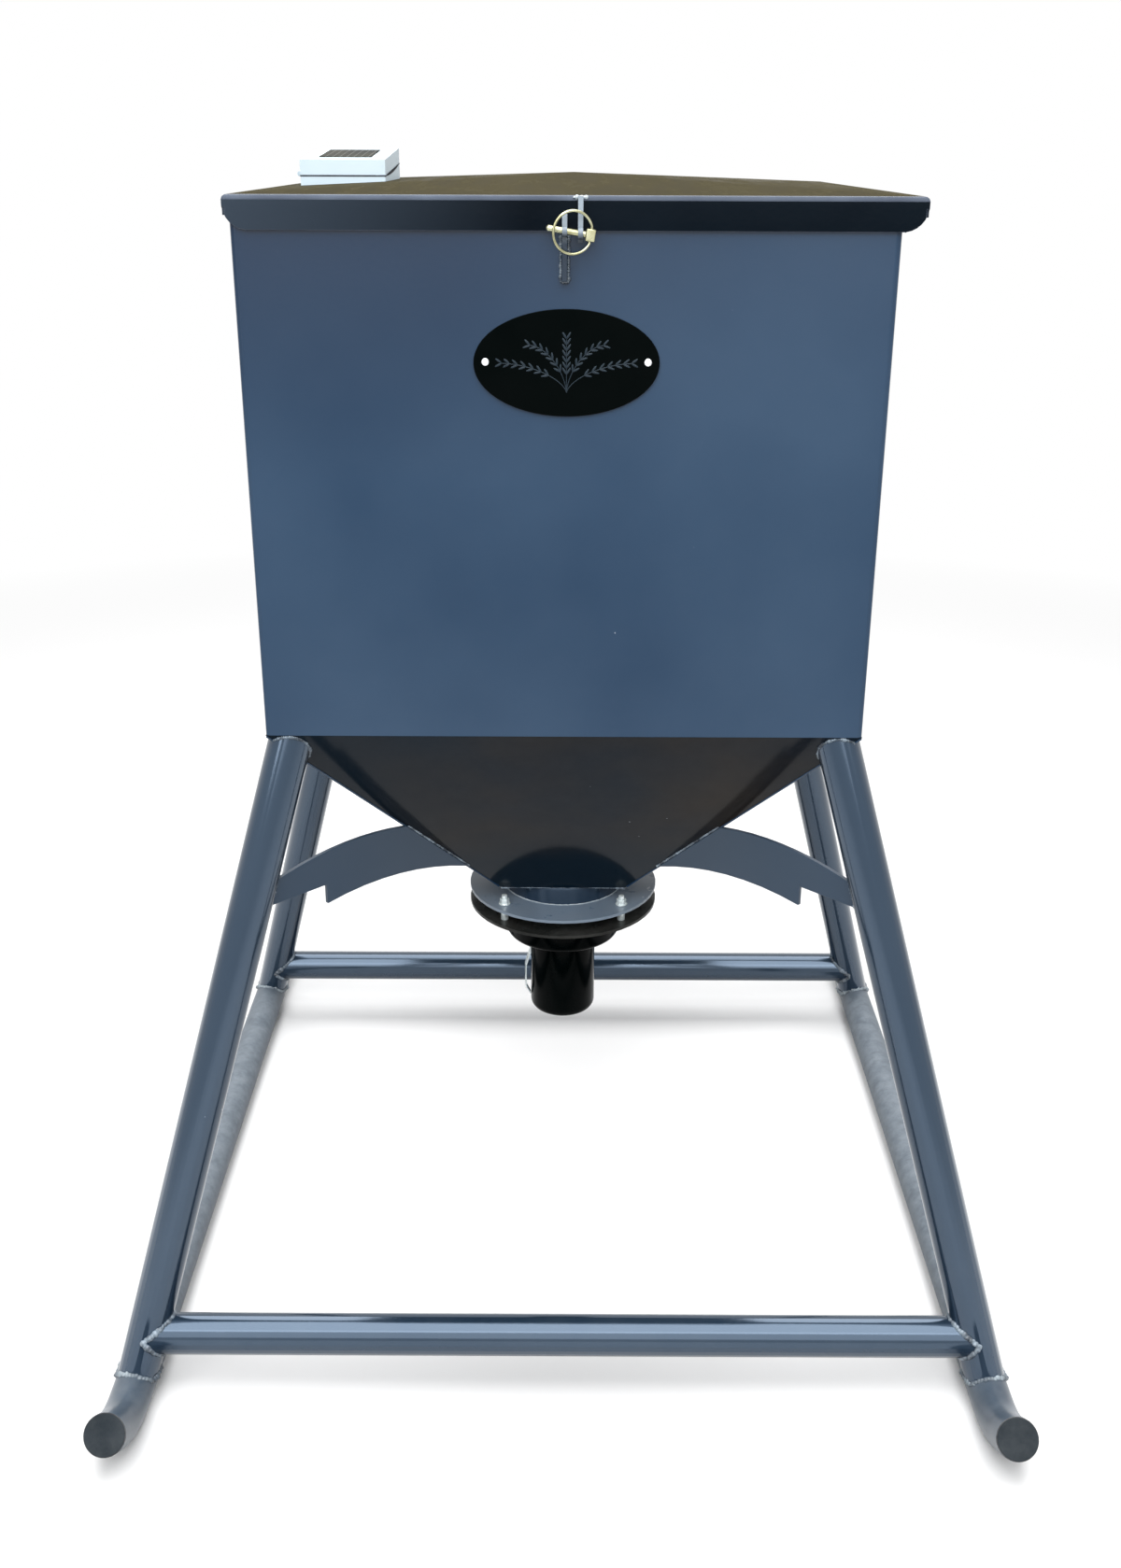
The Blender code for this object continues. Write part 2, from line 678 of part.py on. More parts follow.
def make_drive():
    """The motor, its shaft and the spinner, all on the feeder's axis."""
    motor_top = PLATE_BOTTOM_Z - GAP
    bore = SHAFT / 2 + SHAFT_CLEARANCE
    floor = motor_top - SHAFT_IN_MOTOR - GAP
    body = disc(MOTOR / 2, motor_top - MOTOR_LENGTH, motor_top, ROUND_STEPS // 2)
    motor = finish("motor", body, zinc(), radians(30))
    cut(motor, cutter("shaft_room", disc(bore, floor, motor_top + MOTOR, BOLT_STEPS)))
    hub_top = SPINNER_Z + SPINNER_THICKNESS + VANE_HEIGHT
    shaft = disc(SHAFT / 2, motor_top - SHAFT_IN_MOTOR, hub_top, BOLT_STEPS)
    finish("motor_shaft", shaft, zinc(), radians(30))
    hub = SPINNER_HUB / 2
    rim = SPINNER / 2
    deck = SPINNER_Z + SPINNER_THICKNESS
    outline = [(bore, SPINNER_Z), (rim, SPINNER_Z), (rim, deck)]
    outline += [(hub, deck), (hub, hub_top), (bore, hub_top)]
    spinner = finish("spinner", turned(outline, ROUND_STEPS), zinc(), radians(30))
    for i in range(VANES):
        reach = rim - VANE_THICKNESS
        half = VANE_THICKNESS / 2
        foot = deck - SPINNER_THICKNESS / 2
        vane = block((VANE_START, -half, foot), (reach, half, deck + VANE_HEIGHT))
        bmesh.ops.rotate(vane, matrix=Matrix.Rotation(2 * pi * i / VANES, 3, "Z"), verts=vane.verts)
        join(spinner, finish(f"vane_{i}", vane, None))


def make_clip():
    """A bent strip from the drum's underside down the can's left side."""
    can = CAN / 2 + GAP
    top = DRUM_BOTTOM_Z - GAP
    waist = DRUM_BOTTOM_Z - CLIP_WAIST_DROP
    bulge_top = DRUM_BOTTOM_Z - CLIP_BULGE_TOP_DROP
    bulge_bottom = DRUM_BOTTOM_Z - CLIP_BULGE_BOTTOM_DROP
    tail = DRUM_BOTTOM_Z - CLIP_TAIL_DROP
    outer = [
        (can + CLIP_STRIP + CLIP_FOOT, top),
        (can + CLIP_STRIP + CLIP_FOOT, top - CLIP_STRIP),
        (can + CLIP_STRIP, top - CLIP_STRIP),
        (can + CLIP_STRIP, waist),
        (can + CLIP_STRIP + CLIP_BULGE, bulge_top),
        (can + CLIP_STRIP + CLIP_BULGE, bulge_bottom),
        (can + CLIP_STRIP, tail),
    ]
    inner = [
        (can, tail),
        (can + CLIP_BULGE, bulge_bottom + CLIP_STRIP),
        (can + CLIP_BULGE, bulge_top - CLIP_STRIP),
        (can, waist - CLIP_STRIP),
        (can, top),
    ]
    out = Vector((cos(CLIP_ANGLE), sin(CLIP_ANGLE), 0))
    across = Vector((-out.y, out.x, 0))

    def place(u, v, side):
        return out * u + across * side + Vector((0, 0, v))

    finish("can_clip", prism(outer + inner, CLIP_WIDTH, place), zinc())


def lip_corner(half):
    """What the front or rear lip loses at a lower corner: all outside a quarter circle."""
    low = LIP_BOTTOM_Z
    beyond = half + LID_CORNER
    below = low - LID_CORNER
    centre = (half - LID_CORNER, low + LID_CORNER)
    curve = arc(centre, LID_CORNER, LID_CORNER_START, -pi / 2 - LID_CORNER_START, LID_CORNER_STEPS)
    return [(beyond, curve[0][1]), *curve, (curve[-1][0], below), (beyond, below)]


def side_lip_room(half):
    """What a side lip loses: all below its edge and outside its rounded ends."""
    below = LIP_BOTTOM_Z - LID_CORNER
    beyond = half + LID_CORNER
    centre = (half - LID_CORNER, LIP_BOTTOM_Z + LID_CORNER)
    last = -asin_of((centre[1] - LID_EDGE_Z + LID_SIDE_LIP) / LID_CORNER)
    curve = arc(centre, LID_CORNER, LID_CORNER_START, last, LID_CORNER_STEPS // 2)
    rear_end = [(beyond, curve[0][1]), *curve]
    front_end = [(-u, v) for u, v in reversed(rear_end)]
    return rear_end + front_end + [(-beyond, below), (beyond, below)]


def lid_top(drop, inset, low):
    """A bmesh of the creased top over a square base, lowered and drawn in for its underside."""
    half = LID / 2 - inset
    middle = LID_MIDDLE
    made = bmesh.new()
    floor = []
    edge = []
    for x, y, _ in square(half, 0):
        floor.append(made.verts.new((middle.x + x, middle.y + y, low)))
        edge.append(made.verts.new((middle.x + x, middle.y + y, LID_EDGE_Z - drop)))
    peak = made.verts.new((middle.x, middle.y, middle.z - drop))
    made.faces.new(reversed(floor))
    for i in range(4):
        j = (i + 1) % 4
        made.faces.new((floor[i], floor[j], edge[j], edge[i]))
        made.faces.new((edge[i], edge[j], peak))
    return made


def make_lid():
    """The lid is one folded sheet: a creased top and four lips."""
    lid = finish("lid", lid_top(0, 0, LIP_BOTTOM_Z), dark_lid_paint())
    room = lid_top(SHEET, SHEET, LIP_BOTTOM_Z - LID_LIP)
    cut(lid, cutter("lid_room", room))
    half = LID / 2
    lip = 2 * (SHEET + GAP)
    for sx, sy, name in SIGNS:

        def corner_place(u, v, side, sx=sx, sy=sy):
            return Vector((LID_MIDDLE.x + sx * u, LID_MIDDLE.y + sy * half + side, v))

        cut(lid, cutter(f"lip_corner_{name}", prism(lip_corner(half), lip, corner_place)))
    for sx, name in ((-1, "left"), (1, "right")):

        def side_place(u, v, side, sx=sx):
            return Vector((LID_MIDDLE.x + sx * half + side, LID_MIDDLE.y + u, v))

        cut(lid, cutter(f"side_lip_{name}", prism(side_lip_room(half), lip, side_place)))


def tab_outline(root, low, high, lug_z, notch=None):
    """A tab's outline, as distance from the hopper's face and height, with a round lug at the pin."""
    reach = TAB_REACH
    lug = TAB_LUG
    swing = asin_of((PIN_OUT - reach) / lug)
    nose = arc((PIN_OUT, lug_z), lug, -pi / 2 - swing, pi / 2 + swing, 10)
    lower = [(root, low), (reach, low)]
    if nose[0][1] < low:
        lower = [(root, low), (PIN_OUT, low)]
    nose = [point for point in nose if point[1] > low]
    upper = [(reach, high), (root, high)]
    if notch:
        upper = [(reach, high), (notch[0], high), notch, (root, notch[1])]
    return lower + nose + upper


def asin_of(value):
    return atan2(value, sqrt(1 - value * value))


def pin_height(x):
    """Height of the pin's centre line over a place along the front."""
    return PIN_HEAD_Z - (x - PIN_HEAD_X) * tan(PIN_SLOPE)


def make_tabs():
    """The lid's tab has a round hole. The hopper's is slotted from above, so the pin lifts out."""
    lip_face = LID_FRONT_CLEARANCE + SHEET
    past_lip = lip_face + 2 * PIN_CLEARANCE
    under_lip = LIP_BOTTOM_Z - LID_FRONT_CLEARANCE
    lip_notch = (past_lip, under_lip)
    low, high = LID_EDGE_Z - HOPPER_TAB_DROP, LID_EDGE_Z - HOPPER_TAB_TOP_DROP
    lid_tab_low = LID_EDGE_Z - LID_TAB_LENGTH
    places = {
        "hopper_tab": (HOPPER_TAB_X, GAP, low, high, lip_notch),
        "lid_tab": (LID_TAB_X, lip_face + GAP, lid_tab_low, LID_EDGE_Z, None),
    }
    hole = PIN / 2 + PIN_CLEARANCE
    for name, (x, root, low, high, notch) in places.items():

        def place(u, v, side, x=x):
            return Vector((x + side, -HALF - u, v))

        height = pin_height(x)
        tab = finish(name, prism(tab_outline(root, low, high, height, notch), TAB, place), blue_paint())
        centre = (PIN_OUT, height)
        outline = arc(centre, hole, 0, 2 * pi, BOLT_STEPS)[:-1]
        if name == "hopper_tab":
            above = high + TAB_LUG
            outline = [(PIN_OUT + hole, above), (PIN_OUT - hole, above)]
            outline += arc(centre, hole, pi, 2 * pi, BOLT_STEPS // 2)
        cut(tab, cutter(f"{name}_hole", prism(outline, TAB * 3, place)))


def make_pin():
    """The pin through both tabs, with a cross hole in its head for the ring."""
    along = PIN_HEAD[0] / 2
    tip = (PIN_TIP_X - PIN_HEAD_X) / cos(PIN_SLOPE)
    taper = PIN / 4
    corner = PIN / 2
    angles = [2 * pi * k / BOLT_STEPS for k in range(BOLT_STEPS)]
    rings = []
    for x, radius in ((tip, corner - taper), (tip + taper, corner), (0, corner)):
        rings.append([(x, radius * cos(a), radius * sin(a)) for a in angles])
    head = block([-size / 2 for size in PIN_HEAD], [size / 2 for size in PIN_HEAD])
    bmesh.ops.bevel(head, geom=head.edges[:], offset=along / 5, segments=1, affect="EDGES")
    place = Matrix.Translation((PIN_HEAD_X, PIN_Y, PIN_HEAD_Z)) @ Matrix.Rotation(PIN_SLOPE, 4, "Y")
    pin = finish("latch_pin", head, brass_zinc())
    shank = finish("latch_pin_shank", hull_of_rings(rings), None)
    room = RING_WIRE / 2 + RING_HOLE_CLEARANCE
    hole = cutter("ring_hole", disc(room, -PIN_HEAD[2], PIN_HEAD[2], BOLT_STEPS))
    join(pin, shank)
    cut(pin, hole)
    for obj in (pin, shank, hole):
        obj.matrix_world = place
    return place


def make_ring(place):
    """A round ring of wire with one straight stretch, which turns in the pin's head."""
    radius = RING / 2
    half_angle = asin_of(RING_STRAIGHT / 2 / radius)
    offset = radius * cos(half_angle)
    path = []
    for i in range(RING_STEPS + 1):
        angle = half_angle + 2 * (pi - half_angle) * i / RING_STEPS
        path.append(Vector((radius * cos(angle) - offset, 0, -radius * sin(angle))))
    rings = []
    count = len(path)
    for i, point in enumerate(path):
        along = (path[(i + 1) % count] - path[i - 1]).normalized()
        across = along.cross(Vector((0, 1, 0)))
        ring = []
        for k in range(8):
            angle = 2 * pi * k / 8
            ring.append(point + (Vector((0, 1, 0)) * cos(angle) + across * sin(angle)) * RING_WIRE / 2)
        rings.append(ring)
    ring = finish("latch_ring", hull_of_rings(rings, closed=True), brass_zinc(), radians(50))
    ring.matrix_world = place @ Matrix.Rotation(RING_ANGLE, 4, "Z")


def make_hinges():
    """Two barrel hinges behind the lid, each half on the wall's bracket and half on the rear lip."""
    radius = HINGE_BARREL / 2
    pin = HINGE_PIN / 2
    bore = pin + GAP
    along = Matrix.Rotation(pi / 2, 4, "Y")
    for sx, side in ((-1, "left"), (1, "right")):
        middle = sx * HINGE_X
        place = Matrix.Translation((middle, HINGE_Y, HINGE_Z)) @ along
        barrel = disc(radius, -HINGE_HALF, -GAP, BOLT_STEPS)
        fixed = finish(f"lid_hinge_fixed_{side}", barrel, blue_paint(), radians(30))
        pin_mesh = disc(pin, -HINGE_HALF / 2, HINGE_HALF - GAP, BOLT_STEPS)
        pin_bar = finish(f"hinge_pin_{side}", pin_mesh, None)
        arm_low = HINGE_Z - radius
        arm = block(
            (middle - HINGE_HALF, HALF + GAP, arm_low),
            (middle - GAP, HINGE_Y, arm_low + HINGE_PLATE),
        )
        arm_piece = finish(f"hinge_arm_{side}", arm, None)
        sleeve = washer(bore, radius, GAP, HINGE_HALF, BOLT_STEPS)
        moving = finish(f"lid_hinge_moving_{side}", sleeve, dark_lid_paint(), radians(30))
        leaf = block(
            (middle + GAP, LID_REAR_Y + GAP, HINGE_Z),
            (middle + HINGE_HALF, LID_REAR_Y + GAP + HINGE_PLATE / 2, HINGE_Z + HINGE_LEAF),
        )
        leaf_piece = finish(f"hinge_leaf_{side}", leaf, None)
        drill = cutter(f"hinge_bore_{side}", disc(bore, -GAP, HINGE_HALF * 2, BOLT_STEPS))
        for obj in (fixed, pin_bar, moving, drill):
            obj.matrix_world = place
        join(fixed, arm_piece, pin_bar)
        join(moving, leaf_piece)
        cut(moving, drill)


def make_name_plate():
    count = ROUND_STEPS
    angles = [2 * pi * i / count for i in range(count)]
    outline = [(PLATE_WIDTH / 2 * cos(a), PLATE_HEIGHT / 2 * sin(a)) for a in angles]
    back = -HALF - GAP
    middle = back - PLATE_THICKNESS / 2

    def place(u, v, side):
        return Vector((PLATE_X + u, middle + side, PLATE_Z + v))

    finish("name_plate", prism(outline, PLATE_THICKNESS, place), black_gloss())


def box_frame():
    """The control box's own frame: on its seam, at the middle of its front, tilted up to the rear."""
    place = Matrix.Translation((BOX_X, BOX_FRONT_Y, BOX_SEAM_FRONT_Z))
    return place @ Matrix.Rotation(BOX_TILT, 4, "X")


def facet_room():
    """Everything under the lid's left facet, with its clearance, for cutting the box's underside."""
    half = LID / 2
    left = LID_MIDDLE.x - half
    rise = LID_CROWN / half
    clear = GAP * sqrt(1 + rise * rise)
    past = 0.1
    low_edge = LID_EDGE_Z + clear - past * rise
    high_edge = LID_EDGE_Z + LID_CROWN + clear
    outline = [
        (left - past, low_edge),
        (LID_MIDDLE.x, high_edge),
        (LID_MIDDLE.x, LID_EDGE_Z - past),
        (left - past, LID_EDGE_Z - past),
    ]

    def place(u, v, side):
        return Vector((u, LID_MIDDLE.y + side, v))

    return cutter("facet_room", prism(outline, LID, place))


def rod_along_y(x, start, end, diameter):
    """A round rod along Y in the control box's frame, at the height of its seam."""
    low, high = sorted((start, end))
    made = disc(diameter / 2, low, high, BOLT_STEPS)
    bmesh.ops.rotate(made, matrix=Matrix.Rotation(-pi / 2, 3, "X"), verts=made.verts)
    bmesh.ops.translate(made, vec=(x, 0, 0), verts=made.verts)
    return made


def lug_mesh(x, start, end, side):
    """A round lug on the hinge's axis with a web into the cover's wall (1) or the base's (-1)."""
    radius = BOX_LUG / 2
    root = -BOX_WIDTH / 2 + COVER_WALL / 2
    outline = [(root, radius)] + arc((x, 0), radius, pi / 2, 2 * pi, 10)
    outline += [(x + radius, 2 * GAP), (root, 2 * GAP)]

    def place(u, v, offset):
        return Vector((u, (start + end) / 2 + offset, v * side))

    return prism(outline, abs(end - start), place)


def make_control_box():
    """A tray wedged to the facet, a hinged cover with the solar panel, and the timer inside."""
    frame = box_frame()
    half = BOX_WIDTH / 2
    hinge_x = -half - BOX_LUG / 2 - GAP
    depth = LID_CROWN * 4
    tray_mesh = block((-half, 0, -depth), (half, BOX_LENGTH, -GAP))
    tray = finish("control_box_base", tray_mesh, white_plastic())
    inside = block(
        (-half + COVER_WALL, COVER_WALL, -TRAY_DEPTH),
        (half - COVER_WALL, BOX_LENGTH - COVER_WALL, TRAY_DEPTH),
    )
    tray_room = cutter("tray_room", inside)
    cover_mesh = block((-half, 0, GAP), (half, BOX_LENGTH, COVER_HEIGHT))
    cover = finish("control_box_cover", cover_mesh, white_plastic())
    hollow = block(
        (-half + COVER_WALL, COVER_WALL, -COVER_HEIGHT),
        (half - COVER_WALL, BOX_LENGTH - COVER_WALL, COVER_HEIGHT - COVER_WALL),
    )
    cover_room = cutter("cover_room", hollow)
    panel_low = (PANEL_X - PANEL_WIDTH / 2, PANEL_FRONT, COVER_HEIGHT + GAP)
    panel_top = COVER_HEIGHT + GAP + PANEL_THICKNESS
    panel_high = (PANEL_X + PANEL_WIDTH / 2, PANEL_FRONT + PANEL_LENGTH, panel_top)
    panel = finish("solar_panel", block(panel_low, panel_high), dark_glass())
    timer = block(
        (-TIMER[0] / 2, TIMER_FRONT, -TRAY_DEPTH + GAP),
        (TIMER[0] / 2, TIMER_FRONT + TIMER[1], TIMER_ABOVE_SEAM),
    )
    timer_unit = finish("timer_unit", timer, material("grey_plastic", (0.2, 0.2, 0.2), 0.0, 0.5))
    pieces = [tray, tray_room, cover, cover_room, panel, timer_unit]
    centre = BOX_LENGTH / 2
    for i, away in enumerate((-1, 1)):
        near = centre + away * (BOX_LUG_SPACING / 2)
        far = near + away * BOX_LUG_LENGTH
        inward = near - away * BOX_LUG_LENGTH
        base_lug = finish(f"base_lug_{i}", lug_mesh(hinge_x, near, far, -1), None)
        cover_ear = finish(f"cover_ear_{i}", lug_mesh(hinge_x, near - away * GAP, inward, 1), None)
        pivot_end = near - away * BOX_LUG_LENGTH / 2
        pivot_root = near + away * BOX_LUG_LENGTH / 2
        pivot = rod_along_y(hinge_x, pivot_root, pivot_end, BOX_PIVOT)
        base_pivot = finish(f"base_pivot_{i}", pivot, None)
        room = rod_along_y(hinge_x, far, pivot_end - away * GAP, BOX_PIVOT + 2 * GAP)
        ear_room = cutter(f"ear_socket_{i}", room)
        join(tray, base_lug, base_pivot)
        join(cover, cover_ear)
        cut(cover, ear_room)
        pieces += [base_lug, base_pivot, cover_ear, ear_room]
    for obj in pieces:
        obj.matrix_world = frame
    cut(tray, tray_room, facet_room())
    cut(cover, cover_room)


def main():
    clear_scene()
    make_skids()
    leg_rooms = make_legs(hopper_envelope())
    make_rails(leg_rooms)
    make_braces(leg_rooms)
    make_walls()
    make_slopes()
    make_outlet()
    make_fasteners()
    make_motor()
    make_lid()
    make_tabs()
    make_ring(make_pin())
    make_hinges()
    make_name_plate()
    make_control_box()


main()
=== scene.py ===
# %% [markdown]
# # A spin feeder, dressed for the studio
# The feeder is a square steel hopper that stands on splayed pipe legs. A motor in
# a can under it spins a small plate, which throws the feed out sideways. The
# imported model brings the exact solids, in metres, with the front facing -Y. The
# lesson dresses them: rounded edges, welds, paint, plating and a studio.

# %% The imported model
import json
from math import asin, cos, pi, radians, sin, sqrt, tan

import bmesh
import bpy
from mathutils import Matrix, Vector

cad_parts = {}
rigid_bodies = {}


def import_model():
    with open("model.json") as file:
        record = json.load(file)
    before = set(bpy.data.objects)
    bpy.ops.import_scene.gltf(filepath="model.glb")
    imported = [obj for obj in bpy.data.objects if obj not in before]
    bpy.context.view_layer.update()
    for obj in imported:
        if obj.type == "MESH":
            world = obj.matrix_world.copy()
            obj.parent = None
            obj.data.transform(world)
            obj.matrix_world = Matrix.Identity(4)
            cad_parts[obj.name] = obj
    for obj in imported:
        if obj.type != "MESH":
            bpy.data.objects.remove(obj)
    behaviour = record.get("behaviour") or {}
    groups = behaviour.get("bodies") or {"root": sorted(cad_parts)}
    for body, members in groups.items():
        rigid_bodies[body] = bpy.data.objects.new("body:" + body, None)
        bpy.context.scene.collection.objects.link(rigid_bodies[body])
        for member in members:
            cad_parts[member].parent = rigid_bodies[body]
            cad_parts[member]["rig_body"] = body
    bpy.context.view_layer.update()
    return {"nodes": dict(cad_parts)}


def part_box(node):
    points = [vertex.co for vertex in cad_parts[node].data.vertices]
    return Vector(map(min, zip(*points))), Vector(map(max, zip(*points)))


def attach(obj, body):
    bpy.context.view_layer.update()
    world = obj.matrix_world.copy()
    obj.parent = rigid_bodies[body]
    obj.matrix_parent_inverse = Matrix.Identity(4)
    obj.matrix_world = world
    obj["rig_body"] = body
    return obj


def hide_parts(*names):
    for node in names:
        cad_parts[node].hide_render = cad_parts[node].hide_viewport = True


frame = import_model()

NODES = frame["nodes"]

# %% [markdown]
# ## Trees of nodes
# Shader groups and Geometry Nodes are both trees. Here one small helper declares
# a tree's named sockets and another one adds a node, sets its values and links
# its inputs, so a tree reads as a list.

# %% Helpers for trees
SORTS = {float: "Float", int: "Int", tuple: "Color"}


def new_tree(name, kind, takes, result, sort):
    """A node group with one output. An input takes a default, or just its sort."""
    tree = bpy.data.node_groups.new(name, kind)
    for label, default in takes.items():
        given = SORTS.get(type(default), default)
        socket = tree.interface.new_socket(label, in_out="INPUT", socket_type=f"NodeSocket{given}")
        if given != default:
            socket.default_value = default
    tree.interface.new_socket(result, in_out="OUTPUT", socket_type=f"NodeSocket{sort}")
    return tree, tree.nodes.new("NodeGroupInput").outputs, tree.nodes.new("NodeGroupOutput").inputs


def add(tree, kind, inputs=None, out=0, **settings):
    """One output of a new node. Each input takes a plain value, or an output to link from."""
    node = tree.nodes.new(kind)
    for name, value in settings.items():
        setattr(node, name, value)
    for name, value in (inputs or {}).items():
        if isinstance(value, bpy.types.NodeSocket):
            tree.links.new(value, node.inputs[name])
        else:
            node.inputs[name].default_value = value
    return node.outputs[out]


def mixed(tree, factor, first, second):
    """The colour between two others."""
    return add(tree, "ShaderNodeMix", {0: factor, 6: first, 7: second}, 2, data_type="RGBA")


def sums(tree, operation, *values):
    return add(tree, "ShaderNodeMath", dict(enumerate(values)), operation=operation)


def times(tree, one, two):
    return sums(tree, "MULTIPLY", one, two)


def spread(tree, value, low, high, start=0.0, end=1.0):
    """Stretches a value from one range to another, clamped."""
    inputs = {"Value": value, "From Min": low, "From Max": high, "To Min": start, "To Max": end}
    return add(tree, "ShaderNodeMapRange", inputs)


def where(tree):
    """Where a point of the feeder lies, in metres."""
    return add(tree, "ShaderNodeTexCoord", out="Object")


def measure(tree, axis):
    """How far along one axis a point lies."""
    return add(tree, "ShaderNodeSeparateXYZ", {0: where(tree)}, axis)


def noise(tree, scale, detail, roughness=0.5, at=None):
    place = where(tree) if at is None else at
    inputs = {"Vector": place, "Scale": scale, "Detail": detail, "Roughness": roughness}
    return add(tree, "ShaderNodeTexNoise", inputs)


# %% [markdown]
# ## Effects that several finishes share
# Sprayed paint has a fine orange peel and the sheet under it is a little wavy.
# Both could be real bumps in the mesh, but they are under a tenth of a millimetre
# high, so a group of noise textures turns them into a normal. Other groups give
# clouds in the colour, dust that settles near the ground and on level faces, and
# small chips, because every painted piece shows some of each.

# %% Shader groups
def peel_group():
    takes = {"Peel": 0.00002, "Peel Scale": 150.0, "Dents": 0.0005}
    tree, given, out = new_tree("sprayed_film", "ShaderNodeTree", takes, "Normal", "Vector")
    dents = {"Height": noise(tree, 3.2, 1.5, 0.4), "Distance": given["Dents"]}
    deep = add(tree, "ShaderNodeBump", dents)
    peel = {"Height": noise(tree, given["Peel Scale"], 2), "Distance": given["Peel"], "Normal": deep}
    tree.links.new(add(tree, "ShaderNodeBump", peel), out[0])
    return tree


def cloud_group():
    takes = {"Colour": (0.5, 0.5, 0.5, 1), "Other": (0.4, 0.4, 0.4, 1), "Scale": 3.0, "Amount": 0.5}
    tree, given, out = new_tree("colour_clouds", "ShaderNodeTree", takes, "Colour", "Color")
    cloud = spread(tree, noise(tree, given["Scale"], 3.0, 0.45), 0.36, 0.66)
    share = times(tree, cloud, given["Amount"])
    tree.links.new(mixed(tree, share, given["Colour"], given["Other"]), out[0])
    return tree


def dust_group():
    takes = {"Amount": 0.3, "Height": 0.3, "Film": 0.05}
    tree, given, out = new_tree("settled_dust", "ShaderNodeTree", takes, "Mask", "Float")
    normal = add(tree, "ShaderNodeNewGeometry", out="Normal")
    up = add(tree, "ShaderNodeSeparateXYZ", {0: normal}, "Z")
    low = spread(tree, sums(tree, "DIVIDE", measure(tree, "Z"), given["Height"]), 0.05, 1.0, 1.0, 0.0)
    level = spread(tree, up, -0.35, 0.9, 0.35, 1.0)
    patch = spread(tree, noise(tree, 24, 6, 0.66), 0.38, 0.68)
    near = times(tree, times(tree, low, level), given["Amount"])
    film = times(tree, level, given["Film"])
    both = times(tree, sums(tree, "ADD", near, film), sums(tree, "ADD", patch, 0.25))
    tree.links.new(sums(tree, "MINIMUM", both, 1.0), out[0])
    return tree


def chip_group():
    takes = {"Amount": 0.2, "Scale": 60.0}
    tree, given, out = new_tree("small_chips", "ShaderNodeTree", takes, "Mask", "Float")
    edge = sums(tree, "SUBTRACT", 0.86, times(tree, noise(tree, 4.0, 1), given["Amount"]))
    depth = sums(tree, "SUBTRACT", noise(tree, given["Scale"], 4), edge)
    tree.links.new(spread(tree, depth, 0.0, 0.02), out[0])
    return tree


PEEL, CLOUDS, DUST, CHIPS = peel_group(), cloud_group(), dust_group(), chip_group()
print("shader groups:", [tree.name for tree in bpy.data.node_groups])

# %% [markdown]
# ## Finishes
# A finish is one Principled shader, fed by the groups with its own values. Dust
# and chips lie over the tone, so each is one more mix of the colour, and the
# surface is rougher where dust lies. A patch of another colour is one more layer,
# laid on by a mask that changes with the height or the side.

# %% Layers
DUST_COLOUR = (0.30, 0.31, 0.31)
BARE = (0.42, 0.47, 0.52)
WHITE = (1.0, 1.0, 1.0)
SHADER = "Principled BSDF"


def grouped(tree, which, **values):
    """Places a shader group in a material, with its own values."""
    node = tree.nodes.new("ShaderNodeGroup")
    node.node_tree = which
    for name, value in values.items():
        node.inputs[name.replace("_", " ").title()].default_value = value
    return node.outputs[0]


def principled(name):
    made = bpy.data.materials.new(name)
    made.use_nodes = True
    return made, made.node_tree, made.node_tree.nodes[SHADER].inputs


def tuned(made, **values):
    """Sets plain values on a finish's shader, as in IOR=1.4 or Specular_Tint=(1, 1, 1, 1)."""
    for name, value in values.items():
        made.node_tree.nodes[SHADER].inputs[name.replace("_", " ")].default_value = value
    return made


def overlaid(made, mask, colour):
    """Lays one more colour over a finish, where the mask is 1."""
    base = made.node_tree.nodes[SHADER].inputs["Base Color"]
    below = base.links[0].from_socket
    made.node_tree.links.new(mixed(made.node_tree, mask, below, (*colour, 1)), base)
    return made


def roughened(made, mask, amount):
    tree, rough = made.node_tree, made.node_tree.nodes[SHADER].inputs["Roughness"]
    before = rough.links[0].from_socket if rough.is_linked else rough.default_value
    tree.links.new(sums(tree, "ADD", times(tree, mask, amount), before), rough)
    return made


def layered(name, colour, other, roughness, *, grit, cloud, scale, dust, low, film, **skin):
    """A tone in clouds under dust, which makes it rougher, and a film that gives the normal."""
    made, tree, inputs = principled(name)
    tone = grouped(tree, CLOUDS, colour=(*colour, 1), other=(*other, 1), amount=cloud, scale=scale)
    tree.links.new(tone, inputs["Base Color"])
    settled = grouped(tree, DUST, amount=dust, height=low, film=film)
    tree.links.new(grouped(tree, PEEL, **skin), inputs["Normal"])
    tuned(made, Roughness=roughness)
    return roughened(overlaid(made, settled, DUST_COLOUR), settled, grit)


# %% Painted steel
PAINT = {"grit": 0.45, "cloud": 0.8, "scale": 3.0, "dust": 0.3, "low": 0.3, "film": 0.03}
PAINT.update({"peel": 0.00003, "dents": 0.0006})


def painted(name, colour, other, roughness, ior=1.5, *, chips=0.15, chip_scale=60.0, shine=WHITE, **own):
    """Sprayed paint with peel, clouds, dust and chips. Its own values replace those of PAINT."""
    made = layered(name, colour, other, roughness, **{**PAINT, **own})
    overlaid(made, grouped(made.node_tree, CHIPS, amount=chips, scale=chip_scale), BARE)
    return tuned(made, IOR=ior, Specular_Tint=(*shine, 1))


